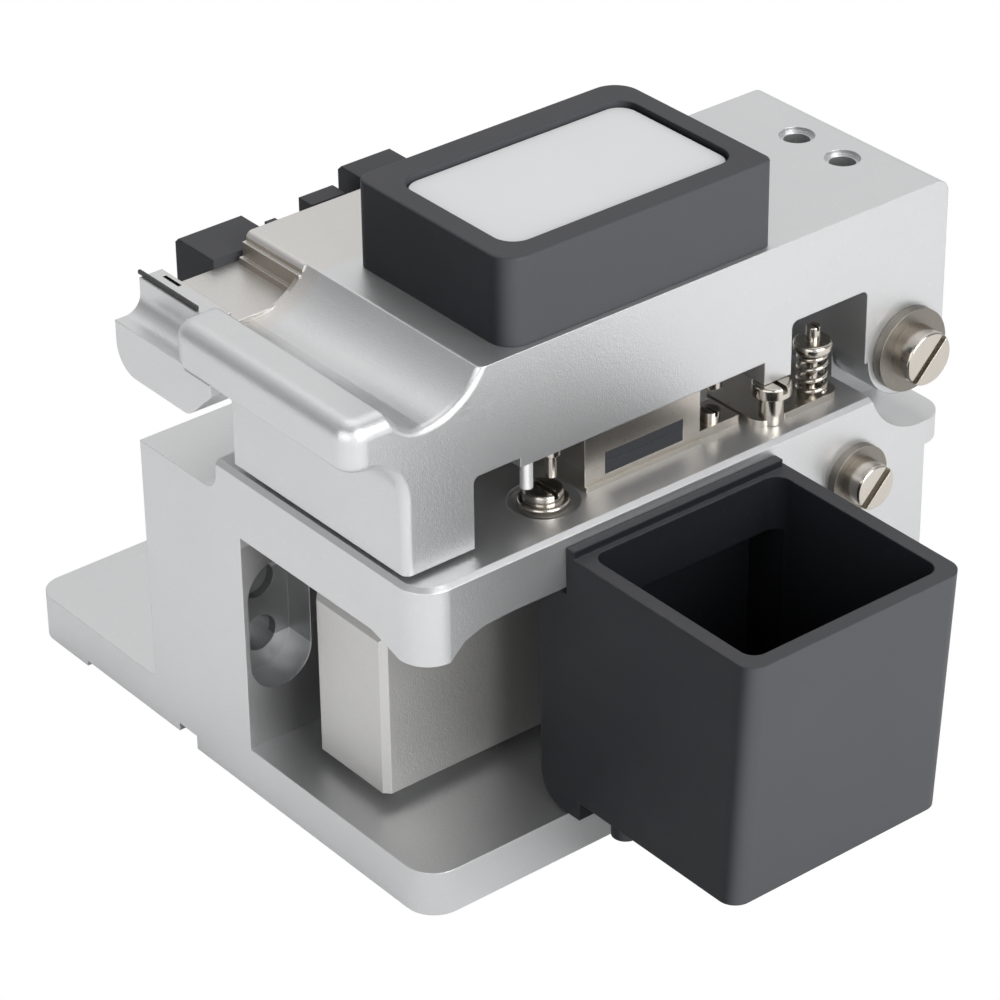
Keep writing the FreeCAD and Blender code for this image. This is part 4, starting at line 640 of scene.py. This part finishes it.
def makeStopScrew():
    # slotted head and shank on the thin stop plate
    look = stopHead
    low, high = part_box("stop_screw")
    middle = (low + high) / 2
    seat = high.z - look["high"]
    shank = softDisc(look["shank"], low.z, seat, look["shankSoft"])
    parts = [slottedHead((middle.x, middle.y, seat), up, straightSlot, look),
             revolve((middle.x, middle.y, 0), up, shank)]
    made = addPiece("stopScrew", parts, "nickelScrew", "base")
    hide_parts("stop_screw")


adjusterHead = dict(hingeHead, radius=1.9 * mm, high=1.0 * mm, slotWide=0.5 * mm,
                    slotDeep=0.5 * mm, soft=0.3 * mm, flange=2.45 * mm, flangeSoft=0.3 * mm)


def makeAdjustingScrews():
    # slotted head on a wide flange, one for each lower clamp plate
    look = adjusterHead
    low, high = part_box("adjusting_screws")
    y = (low.y + high.y) / 2
    top = high.z - look["high"]
    flange = softDisc(look["flange"], low.z, top, look["flangeSoft"])
    parts = []
    for x in (low.x + look["flange"], high.x - look["flange"]):
        parts.append(slottedHead((x, y, top), up, straightSlot, look))
        parts.append(revolve((x, y, 0), up, flange))
    made = addPiece("adjustingScrews", parts, "nickelScrew", "base")
    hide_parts("adjusting_screws")


plungerShape = dict(hingeHead, radius=0.7 * mm, high=1.5 * mm, soft=0.15 * mm,
                    slotWide=0.25 * mm, slotDeep=0.4 * mm, flange=1.9 * mm,
                    flangeHigh=1.1 * mm, flangeSoft=0.4 * mm, stem=0.55 * mm,
                    stemSoft=0.1 * mm, stemSteps=24)


def makePlunger():
    # stem, round-edged flange and slotted cap of the lift plunger
    look = plungerShape
    low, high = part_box("lift_plunger")
    middle = (low + high) / 2
    top = high.z - look["high"]
    under = top - look["flangeHigh"]
    axis = (middle.x, middle.y, 0)
    flange = softDisc(look["flange"], under, top, look["flangeSoft"])
    stem = softDisc(look["stem"], low.z, under, look["stemSoft"])
    parts = [slottedHead((middle.x, middle.y, top), up, straightSlot, look),
             revolve(axis, up, flange),
             revolve(axis, up, stem, look["stemSteps"])]
    made = addPiece("liftPlunger", parts, "nickelScrew", "plunger")
    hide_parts("lift_plunger")


# reach is from the box's side to the coil's axis; pitchFrom is the share of the closed turns
# after which the pitch opens; taper counts the steps over which the wire's ends round off
liftCoil = dict(node="lift_spring", name="liftSpring", body="base", joint="lift_press",
                heldAbove=False, travel=1.5 * mm, count=1, reach=1.55 * mm, radius=1.31 * mm,
                wire=0.235 * mm, turns=4.6, closedTurns=0.9, endPitch=0.28, pitchFrom=0.6,
                steps=420, around=14, taper=4)
rightCoil = dict(liftCoil, node="clamp_springs_right", name="clampSpringsRight", body="lid",
                 joint="right_clamp_lift", heldAbove=True, travel=1.0 * mm, count=2,
                 reach=1.32 * mm, radius=1.12 * mm, wire=0.17 * mm, turns=4.2, endPitch=0.5,
                 steps=300, around=12)
coils = [
    liftCoil,
    rightCoil,
    dict(rightCoil, node="clamp_springs_left", name="clampSpringsLeft",
         joint="left_clamp_lift"),
    dict(rightCoil, node="anvil_spring", name="anvilSpring", joint="anvil_lift",
         travel=1.5 * mm, count=1, reach=2.55 * mm, radius=2.19 * mm, wire=0.33 * mm,
         turns=3.6),
]


def makeSprings():
    # coil springs with closed ends, each built on a mesh of its own
    for look in coils:
        low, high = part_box(look["node"])
        middle = (low.x + high.x) / 2
        spots = np.linspace(low.y + look["reach"], high.y - look["reach"], look["count"])
        parts = [coil((middle, y), low.z, high.z, look) for y in spots]
        made = addPiece(look["name"], parts, "nickelScrew", look["body"])
        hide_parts(look["node"])
        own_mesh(made)


stripShape = dict(wide=0.36 * mm, high=0.42 * mm, soft=0.12 * mm)


def makeStrip():
    # thin dark strip on the wing, narrower than its plain bar
    look = stripShape
    low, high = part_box("edge_strip")
    middle = (low + high) / 2
    bar = sweepBar((low.x, middle.y - look["wide"] / 2, low.z),
                   (high.x, middle.y + look["wide"] / 2, low.z + look["high"]), look["soft"])
    made = addPiece("edgeStrip", [bar], "blackMetal", "lid")
    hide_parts("edge_strip")


makeHingeScrews()
makeSideScrew()
makeStopScrew()
makeAdjustingScrews()
print("stage: screw heads")
makePlunger()
makeSprings()
makeStrip()
print("stage: plunger, springs and strip")


# Light, floor and camera: target, camera, lens and sensor in mm, the rest in metres; roll in
# degrees; each light is its name, place, size and watts

studio = dict(
    target=(-0.633, -4.778, 26.279), camera=(259.490, -212.189, 229.790), roll=-0.775,
    lens=148.266, sensor=36.0, clipStart=0.01,
    floorSize=2.0, floorColour=(0.90, 0.90, 0.90, 1),
    brightSide=(-0.66, 0.53, 0.52), brightTurn=(0.1, 0.95),
    dimWorld=(0.26, 0.26, 0.265, 1), brightWorld=(0.85, 0.85, 0.85, 1),
    lightAim=(0.0, 0.0, 0.03),
    lights=[("topSoftbox", (-0.05, 0.05, 0.6), (0.6, 0.6), 0.8),
            ("rightSoftbox", (0.62, 0.04, 0.30), (0.5, 0.45), 4.0),
            ("frontSoftbox", (0.20, -0.62, 0.24), (0.8, 0.45), 1.9)])


def buildWorld():
    # pure white to the camera; to everything else bright at the left rear, where the flat
    # tops are mirrored, and darker towards the front
    world = bpy.data.worlds.new("studio")
    bpy.context.scene.world = world
    graph = emptyGraph(world)
    direction = graph.add("ShaderNodeTexCoord").outputs["Generated"]
    bright = graph.facing(direction, studio["brightSide"], studio["brightTurn"])
    colour = graph.mix(bright, studio["dimWorld"], studio["brightWorld"])
    path = graph.add("ShaderNodeLightPath")
    colour = graph.mix(path.outputs["Is Camera Ray"], colour, white)
    back = graph.add("ShaderNodeBackground")
    graph.feed(back.inputs["Color"], colour)
    graph.feed(back.inputs["Strength"], 1.0)
    output = graph.add("ShaderNodeOutputWorld")
    graph.feed(output.inputs["Surface"], back.outputs[0])


def buildFloor():
    # pale floor that the camera sees as plain white
    half = studio["floorSize"] / 2
    corners = [(-half, -half, 0), (half, -half, 0), (half, half, 0), (-half, half, 0)]
    mesh = bpy.data.meshes.new("floor")
    mesh.from_pydata(corners, [], [(0, 1, 2, 3)])
    floor = addObject("floor", mesh)
    material = bpy.data.materials.new("paleFloor")
    graph = emptyGraph(material)
    diffuse = graph.add("ShaderNodeBsdfDiffuse")
    graph.feed(diffuse.inputs["Color"], studio["floorColour"])
    glow = graph.add("ShaderNodeEmission")
    graph.feed(glow.inputs["Color"], white)
    path = graph.add("ShaderNodeLightPath")
    join = graph.add("ShaderNodeMixShader")
    graph.feed(join.inputs[0], path.outputs["Is Camera Ray"])
    graph.feed(join.inputs[1], diffuse.outputs[0])
    graph.feed(join.inputs[2], glow.outputs[0])
    output = graph.add("ShaderNodeOutputMaterial")
    graph.feed(output.inputs["Surface"], join.outputs[0])
    mesh.materials.append(material)


def buildCamera():
    # looks from its place to the target, then turned about its own line of sight by the roll
    camera = bpy.data.cameras.new("camera")
    camera.sensor_width = studio["sensor"]
    camera.lens = studio["lens"]
    camera.clip_start = studio["clipStart"]
    holder = addObject("camera", camera)
    place = Vector(studio["camera"]) * mm
    aim = Vector(studio["target"]) * mm - place
    turn = aim.to_track_quat("-Z", "Y").to_matrix().to_4x4()
    roll = Matrix.Rotation(math.radians(studio["roll"]), 4, "Z")
    holder.matrix_world = Matrix.Translation(place) @ turn @ roll
    bpy.context.scene.camera = holder


def buildLights():
    # soft boxes, all turned to one point inside the object
    for name, place, size, power in studio["lights"]:
        light = bpy.data.lights.new(name, "AREA")
        light.shape = "RECTANGLE"
        light.size, light.size_y = size
        light.energy = power
        lamp = addObject(name, light)
        lamp.location = place
        aim = Vector(studio["lightAim"]) - Vector(place)
        lamp.rotation_euler = aim.to_track_quat("-Z", "Y").to_euler()


buildWorld()
buildFloor()
buildCamera()
buildLights()
bpy.context.scene.view_settings.view_transform = "Standard"
print("stage: light, floor and camera")
